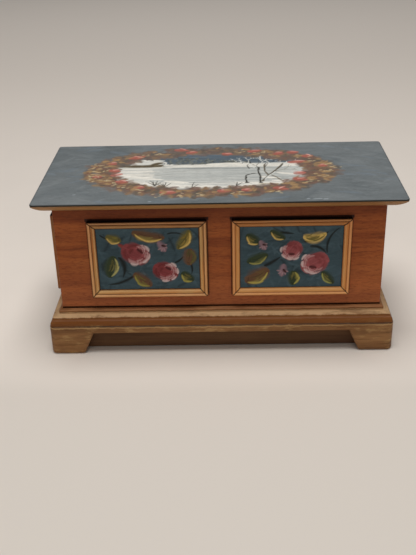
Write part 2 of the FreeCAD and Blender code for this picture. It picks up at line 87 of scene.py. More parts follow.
# %% From a paint card to light
def paint(*card):
    """A colour from a paint card, 0 to 255, as amounts of light with full cover."""
    share = np.array(card, float) / 255
    light = np.where(share <= 0.04045, share / 12.92, ((share + 0.055) / 1.055) ** 2.4)
    return np.append(light, 1)


def blend(first, second, share):
    """The first value where share is 0 and the second where it is 1: a (1 - s) + b s."""
    return first * (1 - share) + second * share


print("a mid grey card reflects", round(float(paint(128, 128, 128)[0]), 3), "of the light")


# %% [markdown]
# ## A recipe for a material
#
# A material is a small network of nodes. This class holds one while it is being mixed, so that a finish
# reads like a recipe: start with a colour, lay other tones over it where a pattern says so, and finish
# with the roughness and the bumps. A plain value goes straight into a node's socket, and the output of
# another node is linked to it.

# %% The recipe
class Recipe:
    """A material being mixed: its nodes, its colour so far, and each point's place in millimetres."""

    def __init__(self, name):
        self.finish = bpy.data.materials.new(name)
        self.finish.use_nodes = True
        self.tree = self.finish.node_tree
        self.shader = self.tree.nodes["Principled BSDF"]
        self.shader.inputs["Specular IOR Level"].default_value = 0.22
        metres = self.add("ShaderNodeTexCoord", {}).outputs["Object"]
        self.place = self.add("ShaderNodeMapping", {"Vector": metres, "Scale": (1 / MM,) * 3}).outputs[0]
        self.x, self.y, self.z = self.add("ShaderNodeSeparateXYZ", {"Vector": self.place}).outputs
        self.colour = None

    def add(self, kind, inputs, **choices):
        """Adds a node: an input that is a socket is linked, anything else is set as a value."""
        node = self.tree.nodes.new(kind)
        for name, choice in choices.items():
            setattr(node, name, choice)
        for socket, value in inputs.items():
            if isinstance(value, bpy.types.NodeSocket):
                self.tree.links.new(value, node.inputs[socket])
            else:
                node.inputs[socket].default_value = value
        return node

    def maths(self, operation, *values):
        """One sum on sockets or numbers, such as maths("ADD", a, b)."""
        return self.add("ShaderNodeMath", dict(enumerate(values)), operation=operation).outputs[0]

    def times(self, first, *others):
        """The product of all the values."""
        for other in others:
            first = self.maths("MULTIPLY", first, other)
        return first

    def away(self, value, middle):
        """How far a value is from the middle, on either side."""
        return self.maths("ABSOLUTE", self.maths("SUBTRACT", value, middle))

    def rise(self, value, low, high):
        """0 below low, 1 above high, a smooth step between. With low above high it falls instead."""
        limits = {"Value": value, "From Min": low, "From Max": high}
        return self.add("ShaderNodeMapRange", limits, interpolation_type="SMOOTHSTEP").outputs[0]

    def noise(self, size, detail=3, rough=0.5, squeeze=(1, 1, 1)):
        """Cloudy values, 0 to 1, in blotches of that size in mm. A small squeeze draws them out."""
        place = self.add("ShaderNodeMapping", {"Vector": self.place, "Scale": squeeze}).outputs[0]
        inputs = {"Vector": place, "Scale": 1 / size, "Detail": detail, "Roughness": rough}
        return self.add("ShaderNodeTexNoise", inputs).outputs["Fac"]

    def wander(self, value, pattern, spread):
        """A value that a pattern moves by half of spread either way."""
        return self.maths("ADD", value, self.maths("MULTIPLY_ADD", pattern, spread, -spread / 2))

    def mix(self, share, first, second, how="MIX"):
        """The first colour where share is 0 and the second where it is 1."""
        inputs = {0: share, 6: first, 7: second}
        return self.add("ShaderNodeMix", inputs, data_type="RGBA", blend_type=how).outputs[2]

    def lay(self, share, tone, strength=1):
        """Lays a tone over the colour so far, where share is 1, at that strength."""
        self.colour = self.mix(self.times(share, strength), self.colour, tone)

    def over(self, value, low, high, tone, strength=1):
        """Lays a tone where a value rises from low to high."""
        self.lay(self.rise(value, low, high), tone, strength)

    def darken(self, share, tone, strength):
        """Glazes the colour so far with a tone that takes light away from it."""
        self.lay(share, self.mix(1, self.colour, tone, "MULTIPLY"), strength)

    def done(self, rough, bumps=None, depth=0.03, strength=0.6):
        """Links the colour, the roughness and bumps of that depth in millimetres.

        rough is a number, or a pattern with two numbers a and b that stand for pattern x a + b.
        """
        self.tree.links.new(self.colour, self.shader.inputs["Base Color"])
        if isinstance(rough, tuple):
            self.tree.links.new(self.maths("MULTIPLY_ADD", *rough), self.shader.inputs["Roughness"])
        else:
            self.shader.inputs["Roughness"].default_value = rough
        if bumps is not None:
            inputs = {"Height": bumps, "Distance": depth * MM, "Strength": strength}
            self.tree.links.new(self.add("ShaderNodeBump", inputs).outputs[0], self.shader.inputs["Normal"])
        return self.finish


print("a recipe can", ", ".join(word for word in vars(Recipe) if word[0] != "_"))


# %% [markdown]
# ## Wood grain
#
# Grain is a pattern that changes fast across the board and slowly along it. One cloudy texture, drawn
# out along the board, gives broad bands, a finer one gives the lines, and a third, cut off so that only
# its peaks remain, gives the short dark pores. Squeezing along both x and y suits an upright board,
# because its grain is level whichever way the board faces.

# %% Grain, and the outline of a frame
LEVEL, UPRIGHT, ALONG_X = (0.06, 0.06, 1), (1, 1, 0.06), (0.06, 1, 1)


def grain(wood, run, tones, line_dark=0.45):
    """Colour and line pattern of wood. run squeezes the pattern along the grain; tones are three colours."""
    bands = wood.noise(3, 4, squeeze=run)
    lines = wood.noise(0.55, 5, 0.65, run)
    pores = wood.noise(0.22, 2, 0.5, run)
    colour = wood.mix(wood.rise(bands, 0.3, 0.7), tones[0], tones[1])
    colour = wood.mix(wood.times(wood.rise(lines, 0.48, 0.72), line_dark), colour, tones[2])
    return wood.mix(wood.times(wood.rise(pores, 0.62, 0.72), 0.35), colour, tones[2]), lines


def frame_overshoot(wood, end):
    """How far a point lies beyond a frame's outline, along the board and up it, below 0 inside.

    The point is folded onto one frame, so that one sum serves both front frames.
    """
    if end:
        low, high, along = end_low[1], end_high[1], wood.y
    else:
        low, high, along = frame_low[0], frame_far[0], wood.maths("ABSOLUTE", wood.x)
    aside = wood.away(along, (low + high) / 2)
    above = wood.away(wood.z, (frame_low[2] + frame_top) / 2)
    return (wood.maths("SUBTRACT", aside, (high - low) / 2),
            wood.maths("SUBTRACT", above, (frame_top - frame_low[2]) / 2))


def banded(wood, value, edge, table):
    """Lays bands of paint: each has low and high limits, softness, strength and tone.

    The lower limit is tested on value, which may wander, and the upper one on edge.
    """
    for low, high, soft, strength, tone in table:
        begun, ended = wood.rise(value, low - soft, low + soft), wood.rise(edge, high + soft, high - soft)
        wood.lay(wood.times(begun, ended), tone, strength)


print("a frame is", frame_far[0] - frame_low[0], "by", frame_top - frame_low[2], "mm")


# %% [markdown]
# ## The stained box
#
# The box is a red-brown wood with a thin stain. A dark line round each frame is stain in the corner
# and painted shade, and a near-black band just above each frame and the darker top under the lid are
# painted shade; the lighter lower part is painted light. The box is also darker along the joint with
# the base. Inside, nobody stained it: the wood stays pale, with a little colour where the brush ran
# over the top edge.

# %% Stained box boards
SHADOW = paint(12, 5, 3)
PLAIN_TONES = (paint(206, 166, 114), paint(188, 146, 96), paint(150, 104, 62))


def stained_and_shaded_board(name, seam, end=None):
    """Box board: level grain, painted shade beside the frame and under the lid, painted light low down, and
    bare wood inside the chest.

    seam is the height where the base begins. end says whose frame the board carries: True for the
    end's, False for the front's, None for a board with no frame.
    """
    wood = Recipe(name)
    wood.colour, lines = grain(wood, LEVEL, (paint(176, 96, 46), paint(142, 70, 32), paint(66, 26, 12)))
    wood.over(wood.noise(7, squeeze=(0.5, 0.5, 1)), 0.45, 0.75, paint(190, 114, 60), 0.4)
    # Lighter towards the bottom: painted light.
    wood.over(wood.z, 30, 16, paint(188, 114, 70), 0.35)
    dashes = wood.noise(0.4, 4, 0.7, (0.22, 0.22, 1))
    wood.over(dashes, 0.46, 0.7, paint(96, 40, 18), 0.5)
    if end is not None:
        aside, above = frame_overshoot(wood, end)
        # A dark line round the frame: stain in the corner and painted shade.
        wood.over(wood.maths("MAXIMUM", aside, above), 0.6, 0.2, paint(40, 16, 8), 0.85)
        # A near-black band just above the frame: painted shade.
        near = wood.times(wood.rise(aside, 0.75, 0.55), wood.rise(above, 0.8, 0.55))
        wood.lay(wood.times(near, wood.rise(wood.z, frame_top - 0.4, frame_top - 0.2)), SHADOW)
    # Darker just under the lid: painted shade from its overhang.
    wood.over(wood.z, body_top - 7, body_top - 1.5, paint(96, 38, 10), 0.45)
    wood.over(wood.z, seam + 0.6, seam + 0.05, paint(36, 18, 10), 0.85)
    # Bare wood: inside the four walls, in the middle of both x and y, and below the top edge.
    inner_x = -left_high[0]
    half_deep = (back_high[1] - body_low[1]) / 2
    in_x = wood.rise(wood.maths("ABSOLUTE", wood.x), inner_x + 0.6, inner_x + 0.2)
    in_y = wood.rise(wood.away(wood.y, body_low[1] + half_deep), half_deep - 2.4, half_deep - 2.8)
    below = wood.rise(wood.z, body_top - 0.2, body_top - 1.1)
    bare, _ = grain(wood, LEVEL, (paint(205, 164, 112), paint(186, 142, 92), paint(146, 100, 60)), 0.35)
    wood.lay(wood.times(in_x, in_y, below), bare)
    return wood.done((lines, 0.2, 0.38), lines)


moulding_top = base_high[2] + 0.3
front_stain = stained_and_shaded_board("red_brown_stain_front", moulding_top, end=False)
side_stain = stained_and_shaded_board("red_brown_stain_left", moulding_top, end=True)
plain_stain = stained_and_shaded_board("red_brown_stain_right", moulding_top)
back_stain = stained_and_shaded_board("red_brown_stain_back", plinth_high[2])
print("made", front_stain.name, side_stain.name, plain_stain.name, back_stain.name)


# %% [markdown]
# ## Bare wood
#
# The bottom board and the glue blocks were left as they came from the plane. The boards of the plain
# frame behind the feet are the same wood in dark brown tones.

# %% Bare wood
def bare_wood(name, run, tones):
    """Plain planed wood with its grain along the small axis of run."""
    wood = Recipe(name)
    wood.colour, lines = grain(wood, run, tones, 0.35)
    wood.over(wood.noise(9, 4), 0.5, 0.8, paint(120, 90, 60), 0.3)
    return wood.done((lines, 0.2, 0.6), lines, 0.04)


DARK_TONES = (paint(112, 80, 54), paint(92, 64, 44), paint(66, 46, 32))
bottom_wood = bare_wood("planed_bottom_wood", ALONG_X, PLAIN_TONES)
block_wood = bare_wood("planed_block_wood", (1, 1, 0.08), PLAIN_TONES)
liner_wood = bare_wood("dark_liner_wood", LEVEL, DARK_TONES)
print("made", bottom_wood.name, block_wood.name, liner_wood.name)


# %% [markdown]
# ## Rubbed gold-brown paint on the base
#
# The base was painted a gold-brown and then rubbed. Paint is thin and light on the raised parts, and
# brown dirt stays in the hollows. The light bands on the bevel, the fillet and the edge below the joint
# are painted highlights as well, and the dark bands are partly painted shade. The recipe looks at the
# height above the floor: the joint over the plinth and the quirk above the moulding are the two dark
# lines that run all the way round.

# %% Base paint
JOINT, QUIRK = base_low[2], base_high[2] - 0.6
# Each band: its lower and upper height, how soft its limits are, its strength and its colour.
BASE_BANDS = (
    (JOINT + 0.1, JOINT + 2.75, 0.05, 0.75, paint(124, 68, 18)),
    # A light bevel: rubbed paint and a painted highlight.
    (JOINT + 2.65, JOINT + 3.55, 0.3, 0.85, paint(226, 190, 146)),
    (JOINT + 3.6, JOINT + 3.95, 0.05, 0.6, paint(92, 54, 26)),
    # The fillet and the moulding's top are painted lighter: painted light on faces in shade.
    (JOINT + 4, QUIRK - 0.1, 0.05, 0.75, paint(214, 162, 108)),
    (QUIRK - 0.1, QUIRK + 1, 0.05, 0.65, paint(176, 120, 80)),
    (JOINT - 0.3, JOINT + 0.1, 0.03, 0.75, paint(50, 30, 16)),
    # A light edge below the joint: painted highlight.
    (JOINT - 0.75, JOINT - 0.3, 0.1, 0.5, paint(208, 170, 118)),
)


def rubbed_and_shaded_base(name):
    """Streaky gold-brown paint: dirt and painted shade in the two hollows, rubbed arrises and painted
    highlights.
    """
    wood = Recipe(name)
    run = (0.07, 0.07, 1)
    wood.colour, lines = grain(wood, run, (paint(158, 114, 70), paint(126, 86, 50), paint(72, 44, 24)), 0.5)
    wear = wood.noise(2.2, 4, 0.6, (0.35, 0.35, 1))
    wood.over(wear, 0.52, 0.68, paint(198, 160, 104), 0.5)
    wood.over(wood.noise(3.5, 4, 0.6), 0.5, 0.75, paint(118, 82, 50), 0.45)
    height = wood.wander(wood.z, wood.noise(2.5, 4, 0.7, (1, 1, 0.2)), 1.2)
    banded(wood, height, wood.z, BASE_BANDS)
    wood.over(wood.noise(0.7, 4, 0.65, run), 0.5, 0.66, paint(112, 68, 34), 0.5)
    wood.over(height, 1.6, 0.1, paint(96, 66, 38), 0.2)
    return wood.done((wear, 0.25, 0.32), wood.maths("ADD", lines, wear), 0.04)


base_paint = rubbed_and_shaded_base("rubbed_and_shaded_gold_brown_base")
print("made", base_paint.name)


# %% [markdown]
# ## Gold-brown frames
#
# Each frame strip is a small moulding with a bead on its outer edge. The gold-brown paint is bright on
# the bead and on the slope and dark in the groove between them: rubbed paint and dirt, with painted
# highlights and painted shade. The top strips are painted darker as shade from the lid, the bottom
# strips lighter as painted light, and the top face of each frame is painted nearly black as shade.

# %% Frame paint
# Each band: how far in from the frame's outline it begins and ends, then as for the base.
# Light bands are rubbed paint with painted highlights; dark bands are dirt with painted shade.
FRAME_BANDS = (
    (-0.2, 0.22, 0.06, 0.5, paint(126, 70, 36)),
    (0.25, 0.8, 0.1, 0.6, paint(244, 186, 134)),
    (0.88, 1.22, 0.08, 0.6, paint(124, 68, 30)),
    (1.65, 2, 0.12, 0.45, paint(244, 204, 142)),
    (2.06, 2.6, 0.05, 0.75, paint(98, 48, 20)),
)
FRAME_TONES = (paint(220, 162, 94), paint(196, 124, 66), paint(112, 62, 28))


def frame_paint(name, end, side):
    """Gold-brown strip: light and dark lines along it, with painted highlights and shade, dark mitres, and
    an upper face painted nearly black as shade.
    """
    wood = Recipe(name)
    run = UPRIGHT if side == "upright" else LEVEL
    wood.colour, lines = grain(wood, run, FRAME_TONES, 0.6)
    wood.over(wood.noise(9, 2), 0.4, 0.6, paint(196, 160, 104), 0.45)
    plain = wood.colour
    aside, above = frame_overshoot(wood, end)
    inward = wood.times(wood.maths("MAXIMUM", aside, above), -1)
    inward = wood.wander(inward, wood.noise(2), 0.2)
    banded(wood, inward, inward, FRAME_BANDS)
    broken = wood.noise(0.6, 4, 0.6, (run[0] * 2, run[1] * 2, run[2]))
    wood.over(broken, 0.5, 0.7, plain, 0.6)
    if not end:  # the frame on the right was rubbed to a warmer tone
        wood.over(wood.x, -2, 2, paint(240, 156, 82), 0.35)
    # Top strips are painted darker as shade from the lid, and bottom strips lighter as painted light.
    if side == "top":
        wood.lay(0.45, paint(110, 62, 28))
    if side == "bottom":
        wood.lay(0.15, paint(240, 190, 130))
    mitre = wood.away(aside, above)
    wood.over(mitre, 0.34, 0.1, paint(48, 22, 10), 0.9)
    # Upward faces at the top of the frame are painted nearly black: painted shade under the lid.
    normal = wood.add("ShaderNodeNewGeometry", {}).outputs["Normal"]
    facing = wood.add("ShaderNodeSeparateXYZ", {"Vector": normal}).outputs[2]
    top_edge = wood.rise(wood.z, frame_top - 0.6, frame_top - 0.25)
    wood.lay(wood.times(wood.rise(facing, 0.55, 0.9), top_edge), SHADOW)
    return wood.done((broken, 0.25, 0.3), wood.maths("ADD", lines, broken))


# Top and bottom strips get their own copies for their painted shade and light.
FRAME_FINISHES = {
    (end, side): frame_paint(f"gold_brown_{'end' if end else 'front'}_{side}", end, side)
    for end in (False, True)
    for side in ("top", "bottom", "upright")
}
print("made", len(FRAME_FINISHES), "frame finishes")


# %% [markdown]
# ## Lid edge, hinges and the edges of the panels
#
# The blue-grey of the lid turns over the edge as a thin dark line, and the rounded under-edge is the
# gold-brown of the base. The underside is bare. The hinges are brass that has gone dull. The panels'
# dark teal shows only at their edges, because a film of paint covers their faces.

# %% Lid board, brass and panel ground
def lid_finish(name):
    """Dark upright rim, gold-brown rounded under-edge and a bare underside, told apart by height."""
    wood = Recipe(name)
    tones = (paint(178, 134, 84), paint(148, 104, 62), paint(98, 64, 38))
    wood.colour, lines = grain(wood, ALONG_X, tones, 0.4)
    height = wood.wander(wood.z, wood.noise(3), 0.3)
    wood.over(height, lid_top - 0.75, lid_top - 0.4, paint(40, 42, 38))
    streaks = wood.rise(wood.noise(1.2, 4, squeeze=(0.1, 1, 1)), 0.3, 0.7)
    ground = wood.mix(streaks, paint(88, 94, 98), paint(112, 117, 121))
    wood.over(wood.z, lid_top - 0.06, lid_top - 0.02, ground)
    in_x = wood.rise(wood.maths("ABSOLUTE", wood.x), body_high[0] + 0.4, body_high[0] - 0.4)
    in_y = wood.rise(wood.y, body_low[1] - 0.4, body_low[1] + 0.4)
    under = wood.rise(wood.z, lid_low[2] + 0.1, lid_low[2] + 0.02)
    wood.lay(wood.times(in_x, in_y, under), grain(wood, ALONG_X, PLAIN_TONES, 0.35)[0])
    return wood.done((lines, 0.2, 0.35), lines, strength=0.5)


def dull_brass(name):
    """Brass with brown tarnish in patches, which is rougher and darker than the rubbed metal."""
    metal = Recipe(name)
    tarnish = metal.rise(metal.noise(1.1, 4, 0.6), 0.42, 0.62)
    metal.colour = metal.mix(tarnish, paint(196, 158, 86), paint(112, 82, 44))
    metal.shader.inputs["Metallic"].default_value = 1
    scratches = metal.noise(0.15, squeeze=(0.2, 1, 1))
    return metal.done((tarnish, 0.25, 0.28), scratches, 0.01, 0.5)


lid_wood = lid_finish("lid_rim_and_under_edge")
brass = dull_brass("dull_brass")
coat = Recipe("dark_teal_ground")
streaks = coat.noise(0.8, 4, squeeze=(0.2, 0.2, 1))
coat.colour = coat.mix(coat.rise(streaks, 0.3, 0.7), paint(38, 62, 72), paint(58, 84, 96))
panel_ground = coat.done(0.5, streaks)
print("made", lid_wood.name, brass.name, panel_ground.name)


# %% [markdown]
# ## Handing out the finishes
#
# Each solid's name says what it is, so its name also chooses its finish.

# %% Give each solid its finish
BOARD_FINISHES = {
    "lid_board": lid_wood, "bottom_board": bottom_wood, "front_board": front_stain,
    "back_board": back_stain, "right_side_board": plain_stain, "left_side_board": side_stain,
}
KINDS = (("_panel", panel_ground), ("_glue_block", block_wood), ("_liner", liner_wood),
         ("plinth", base_paint), ("moulding", base_paint))


def finish_for(node):
    """The finish that a piece of the chest takes, by its name."""
    if "frame" in node:
        side = node.rsplit("_", 1)[1]
        return FRAME_FINISHES["end" in node, "upright" if side in ("left", "right") else side]
    if "hinge" in node:
        return brass
    by_ending = [finish for ending, finish in KINDS if node.endswith(ending)]
    return by_ending[0] if by_ending else BOARD_FINISHES[node]


for node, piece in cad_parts.items():
    for place in piece.material_slots:
        place.material = finish_for(node)
print("finished", len(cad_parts), "solids")


# %% [markdown]
# ## A field to paint on
#
# The flowers and the winter scene are painted, and paint has thickness. So each painted face gets a
# film: a fine grid of points, every point with a colour and a height. A brush stroke is a rule that
# says, for all the points at once, how far along and how far across the stroke they lie, and mixes its
# paint into the ones it covers. This gives soft, wet edges that separate cut-out shapes can't have.

# %% The field and its clouds
chance = np.random.default_rng(7)
between = chance.uniform
LATTICE = chance.random((64, 64))


def cloud(x, y, size, shift=0):
    """Soft values from 0 to 1: random numbers on a lattice of that size, joined by a smooth curve."""
    u = x / size[0] + 5.3 * shift
    v = y / size[1] + 3.7 * shift
    column = np.floor(u).astype(int)
    row = np.floor(v).astype(int)
    s = (u - column) ** 2 * (3 - 2 * (u - column))
    t = (v - row) ** 2 * (3 - 2 * (v - row))
    here, right = column % 64, (column + 1) % 64
    low, up = row % 64, (row + 1) % 64
    near = blend(LATTICE[low, here], LATTICE[low, right], s)
    far = blend(LATTICE[up, here], LATTICE[up, right], s)
    return blend(near, far, t)


def blank_field(low, high, step):
    """A grid from low to high in millimetres, with a colour and a paint height for every point."""
    across = np.linspace(low[0], high[0], round((high[0] - low[0]) / step[0]) + 1)
    up = np.linspace(low[1], high[1], round((high[1] - low[1]) / step[1]) + 1)
    x, y = np.meshgrid(across, up)
    return {"across": across, "up": up, "x": x, "y": y, "bristle": max(0.16, 1.5 * step[0]),
            "colour": np.ones(x.shape + (4,)), "height": np.zeros(x.shape)}


def ground_coat(field, dark, light, streak, body=0.03):
    """Covers the whole field: three sizes of cloud, drawn out along x, mix the two colours."""
    long = cloud(field["x"], field["y"], streak)
    fine = cloud(field["x"], field["y"], (streak[0] / 2, streak[1] / 4), 1.3)
    broad = cloud(field["x"], field["y"], (streak[0] * 1.6, streak[1] * 6), 2.1)
    share = np.clip(0.3 * long + 0.2 * fine + 0.7 * broad - 0.1, 0, 1)[..., None]
    field["colour"][:] = blend(dark, light, share)
    field["height"][:] = body * (0.6 + 0.5 * fine + 0.3 * long)


print("clouds from", LATTICE.size, "seeded numbers")


# %% [markdown]
# ## One pull of the brush
#
# A loaded brush pressed down, pulled and lifted leaves a shape that swells and closes. Its width
# follows t to one power times (1 - t) to another, so equal powers give a leaf and unequal ones a comma.
# Decorative painters load each side of the brush with its own colour, and so does this one.

# %% Brush stroke
def stroke(field, start, end, width, colours, bend=0, tips=(0.5, 0.5), body=0.04, cover=0.95,
           soft=0.3, dryness=1):
    """Pulls the brush from start to end.

    t runs from 0 to 1 along the stroke, and side from -1 on its right to 1 on its left. bend bows the
    line to the left by that many millimetres. The first colour is on the right of the brush and the
    second on its left. A cloud drawn out along the stroke makes the bristle lines, and the paint breaks
    up along them as the brush runs dry.
    """
    start, end = np.array(start, float), np.array(end, float)
    length = np.hypot(*(end - start))
    along = (end - start) / length
    reach = width / 2 + abs(bend)
    low = np.minimum(start, end) - reach
    high = np.maximum(start, end) + reach
    columns = slice(*np.searchsorted(field["across"], (low[0], high[0])))
    rows = slice(*np.searchsorted(field["up"], (low[1], high[1])))
    x = field["x"][rows, columns] - start[0]
    y = field["y"][rows, columns] - start[1]
    t = (x * along[0] + y * along[1]) / length
    inside = np.clip(t, 1e-4, 1 - 1e-4)
    off = y * along[0] - x * along[1] - 4 * bend * inside * (1 - inside)
    peak = tips[0] / (tips[0] + tips[1])
    tallest = peak ** tips[0] * (1 - peak) ** tips[1]
    half = width / 2 * inside ** tips[0] * (1 - inside) ** tips[1] / tallest
    side = off / np.maximum(half, 1e-6)
    bristles = cloud(t * length, off, (2.5, field["bristle"]), start[0] + start[1])
    outside = (t < 0) | (t > 1)
    dry = np.clip(1.5 - 1.2 * inside ** 3 * bristles * dryness, 0, 1)
    mask = np.clip((1 - np.abs(side) + 0.3 * (bristles - 0.5)) / soft, 0, 1) * cover * dry
    mask = np.where(outside, 0, mask * mask * (3 - 2 * mask))
    share = np.clip(0.5 + 0.6 * side + 0.7 * (bristles - 0.5), 0, 1)[..., None]
    mixed = blend(colours[0], colours[1], share) * (0.88 + 0.24 * bristles)[..., None]
    field["colour"][rows, columns] += (mixed - field["colour"][rows, columns]) * mask[..., None]
    ridge = body * (0.55 + 0.5 * bristles + 0.25 * np.clip(side, -1, 1) ** 2)
    field["height"][rows, columns] += (ridge + 0.35 * field["height"][rows, columns]
                                       - field["height"][rows, columns]) * mask


def scumble(field, count, colours, long, wide, tilt, cover=0.45):
    """Loose soft pulls all over the field in between two colours, leaning up to tilt degrees from level."""
    for _ in range(count):
        middle = np.array([between(field["across"][0], field["across"][-1]),
                           between(field["up"][0], field["up"][-1])])
        lean = math.radians(between(-tilt, tilt))
        half = np.array([math.cos(lean), math.sin(lean)]) * long * between(0.3, 0.7)
        shade = blend(*colours, between(0, 1))
        stroke(field, middle - half, middle + half, wide * between(0.5, 1.3), (shade, shade),
               bend=between(-0.2, 0.2) * wide, cover=cover, soft=1, body=0.04)


def around(middle, radii, angle):
    """The point at that angle on an oval or a circle, in degrees from the right, turning left."""
    across, up = np.broadcast_to(radii, 2)
    turn = math.radians(angle)
    return middle[0] + across * math.cos(turn), middle[1] + up * math.sin(turn)


def arc(field, middle, radii, first, last, width, colours, **how):
    """A stroke bowed along part of an oval, from the first angle to the last, in degrees."""
    half_turn = math.radians(abs(last - first) / 2)
    bow = (radii[0] + radii[1]) / 2 * (1 - math.cos(half_turn))
    bend = -bow if last > first else bow
    start, end = around(middle, radii, first), around(middle, radii, last)
    stroke(field, start, end, width, colours, bend=bend, **how)


print("brush ready")


# %% [markdown]
# ## From the field to a film
#
# The grid becomes a mesh: its points are carried to the face they belong to and lifted by the paint's
# height. The border drops to just under the wood's surface, and a fan of triangles closes the film from
# behind, so that it is a solid skin and not a loose sheet.

# %% Film mesh
SINK = 0.02


def film(name, field, origin, across, up, body, finish):
    """Makes the piece. Its outward side is across x up, so a grid square seen from outside turns left."""
    across, up, origin = (np.array(v, float) for v in (across, up, origin))
    out = np.cross(across, up)
    rows, columns = field["x"].shape
    grid = np.arange(rows * columns).reshape(rows, columns)
    ring = np.concatenate([grid[0, :-1], grid[:-1, -1], grid[-1, :0:-1], grid[:0:-1, 0]])
    flat_x, flat_y, lift = (field[key].ravel() for key in ("x", "y", "height"))
    x = np.concatenate([flat_x, flat_x[ring], [flat_x.mean()]])
    y = np.concatenate([flat_y, flat_y[ring], [flat_y.mean()]])
    lift = np.concatenate([lift, np.full(len(ring) + 1, -SINK)])
    points = origin + x[:, None] * across + y[:, None] * up + lift[:, None] * out
    squares = np.stack([grid[:-1, :-1], grid[:-1, 1:], grid[1:, 1:], grid[1:, :-1]], -1).reshape(-1, 4)
    lower = grid.size + np.arange(len(ring))
    beyond, lower_beyond = np.roll(ring, -1), np.roll(lower, -1)
    skirt = np.stack([ring, lower, lower_beyond, beyond], -1)
    middle = np.full(len(ring), grid.size + len(ring))
    fan = np.stack([lower_beyond, lower, middle], -1)
    mesh = bpy.data.meshes.new(name)
    mesh.from_pydata((points * MM).tolist(), [], squares.tolist() + skirt.tolist() + fan.tolist())
    mesh.polygons.foreach_set("use_smooth", np.arange(len(mesh.polygons)) < len(squares))
    tint = field["colour"].reshape(-1, 4)
    tint = np.concatenate([tint, tint[ring], tint[:1]])
    mesh.attributes.new("paint", "FLOAT_COLOR", "POINT").data.foreach_set("color", tint.ravel())
    corner = np.zeros(len(mesh.loops), int)
    mesh.loops.foreach_get("vertex_index", corner)
    spread = np.stack([(x - x.min()) / np.ptp(x), (y - y.min()) / np.ptp(y)], -1)
    mesh.uv_layers.new(name="UVMap").data.foreach_set("uv", spread[corner].ravel())
    mesh.materials.append(finish)
    mesh.update()
    piece = bpy.data.objects.new(name, mesh)
    bpy.context.scene.collection.objects.link(piece)
    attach(piece, body)
    print(name, "has", len(mesh.polygons), "faces and is", round(lift.max(), 3), "mm thick at most")
    return piece


def film_paint(name, roughness):
    """Artist's paint: the film's own colours, broken by fine bristle marks, with a satin surface."""
    coat = Recipe(name)
    coat.colour = coat.add("ShaderNodeAttribute", {}, attribute_name="paint").outputs["Color"]
    fine = coat.noise(0.3, 4, 0.6, (0.3, 0.6, 1))
    worn = coat.noise(2.5, 5, 0.65)
    coat.darken(coat.rise(fine, 0.35, 0.7), paint(190, 188, 184), 0.25)
    coat.darken(coat.rise(worn, 0.5, 0.8), paint(170, 165, 158), 0.18)
    return coat.done((worn, 0.2, roughness - 0.1), fine, 0.02)


lid_film_paint = film_paint("lid_artist_paint", 0.5)
panel_film_paint = film_paint("panel_artist_paint", 0.45)
print("made", lid_film_paint.name, panel_film_paint.name)


# %% [markdown]
# ## Roses, buds and leaves
#
# A rose in this folk style is a round wash with dark turns in it. Rows of short pale arcs go over the
# side that it faces, whiter towards the rim, a few pale pulls run in to its dark heart, and two
# crescents close the heart. A leaf is a soft dark shape with loose pulls of green over it, bright ones
# along its lower edge and dark ones for the vein and the tip.

# %% Flower recipes
RED, DEEP, PINK, BLUSH = paint(128, 44, 46), paint(78, 26, 30), paint(176, 94, 98), paint(222, 174, 174)
WHITE, LILAC = paint(244, 224, 222), paint(172, 138, 150)
OLIVE, MOSS, YELLOW = paint(112, 104, 50), paint(52, 66, 40), paint(238, 202, 112)
RUSSET, STALK = paint(112, 78, 52), paint(14, 22, 22)
# Dark turns: how far out, and where each starts. Petal rows: how far out, spread, width, tone, cover.
DARK_TURNS = ((0.7, 100), (0.75, 180), (0.4, 140), (0.55, 210))
PETAL_ROWS = ((0.45, 120, 0.14, PINK, 0.7), (0.62, 110, 0.15, BLUSH, 0.65),
              (0.78, 95, 0.16, BLUSH, 0.8), (0.9, 75, 0.15, WHITE, 0.95))


def rose(field, middle, size, faces, heart, warm):
    """A bloom of that width: pale petals on the side that it faces, a dark heart, both in degrees."""
    radii = size * np.array((0.5, 0.44))
    body = blend(PINK, RED, warm)
    stroke(field, around(middle, radii, faces + 180), around(middle, radii, faces), size * 0.86,
           (body * 0.85, body), tips=(0.42, 0.42), soft=0.4, body=0.05, dryness=0)
    for reach, start in DARK_TURNS:
        arc(field, middle, radii * reach, faces + start, faces + start + 70, size * 0.28,
            (blend(body, RED, warm), blend(RED, DEEP, warm)), soft=1, cover=0.8, body=0.05)
    core = around(middle, radii * 0.36, heart)
    for reach, spread, wide, pale, cover in PETAL_ROWS:
        for piece in np.linspace(-0.8, 0.8, 4):
            first = faces + piece * spread - spread * 0.25 + between(-9, 9)
            arc(field, middle, radii * reach * between(0.93, 1.04), first, first + spread * 0.5,
                size * wide * between(0.8, 1.2), (pale, blend(pale, body, 0.5)), tips=(0.5, 0.7),
                soft=1, cover=cover, body=0.08)
    for turn in np.arange(-70, 90, 35):
        rim = np.array(around(middle, radii[0] * 0.82, faces + turn + between(-12, 12)))
        stroke(field, rim, blend(rim, np.array(core), 0.4), size * 0.11, (WHITE, PINK),
               bend=between(-0.4, 0.4), tips=(0.4, 0.6), soft=1, cover=0.6, body=0.07)
    for turn in (-50, 10, 60):
        arc(field, middle, radii * 0.68, faces + turn, faces + turn + 34, size * 0.05, (RED, DEEP),
            tips=(0.5, 0.7), soft=0.9, cover=0.7)
    ends = [around(core, size * 0.13, heart + turn) for turn in (100, -80)]
    stroke(field, *ends, size * 0.2, (DEEP, DEEP * 0.8), soft=0.8, cover=0.85, body=0.05)
    for wide, tall, first, last, width, colours in (
        (0.17, 0.15, -95, 95, 0.075, (WHITE, PINK)), (0.1, 0.09, -60, 80, 0.05, (BLUSH, RED)),
    ):
        arc(field, core, (size * wide, size * tall), heart + first, heart + last, size * width, colours,
            tips=(0.5, 0.7), soft=0.8, body=0.1)


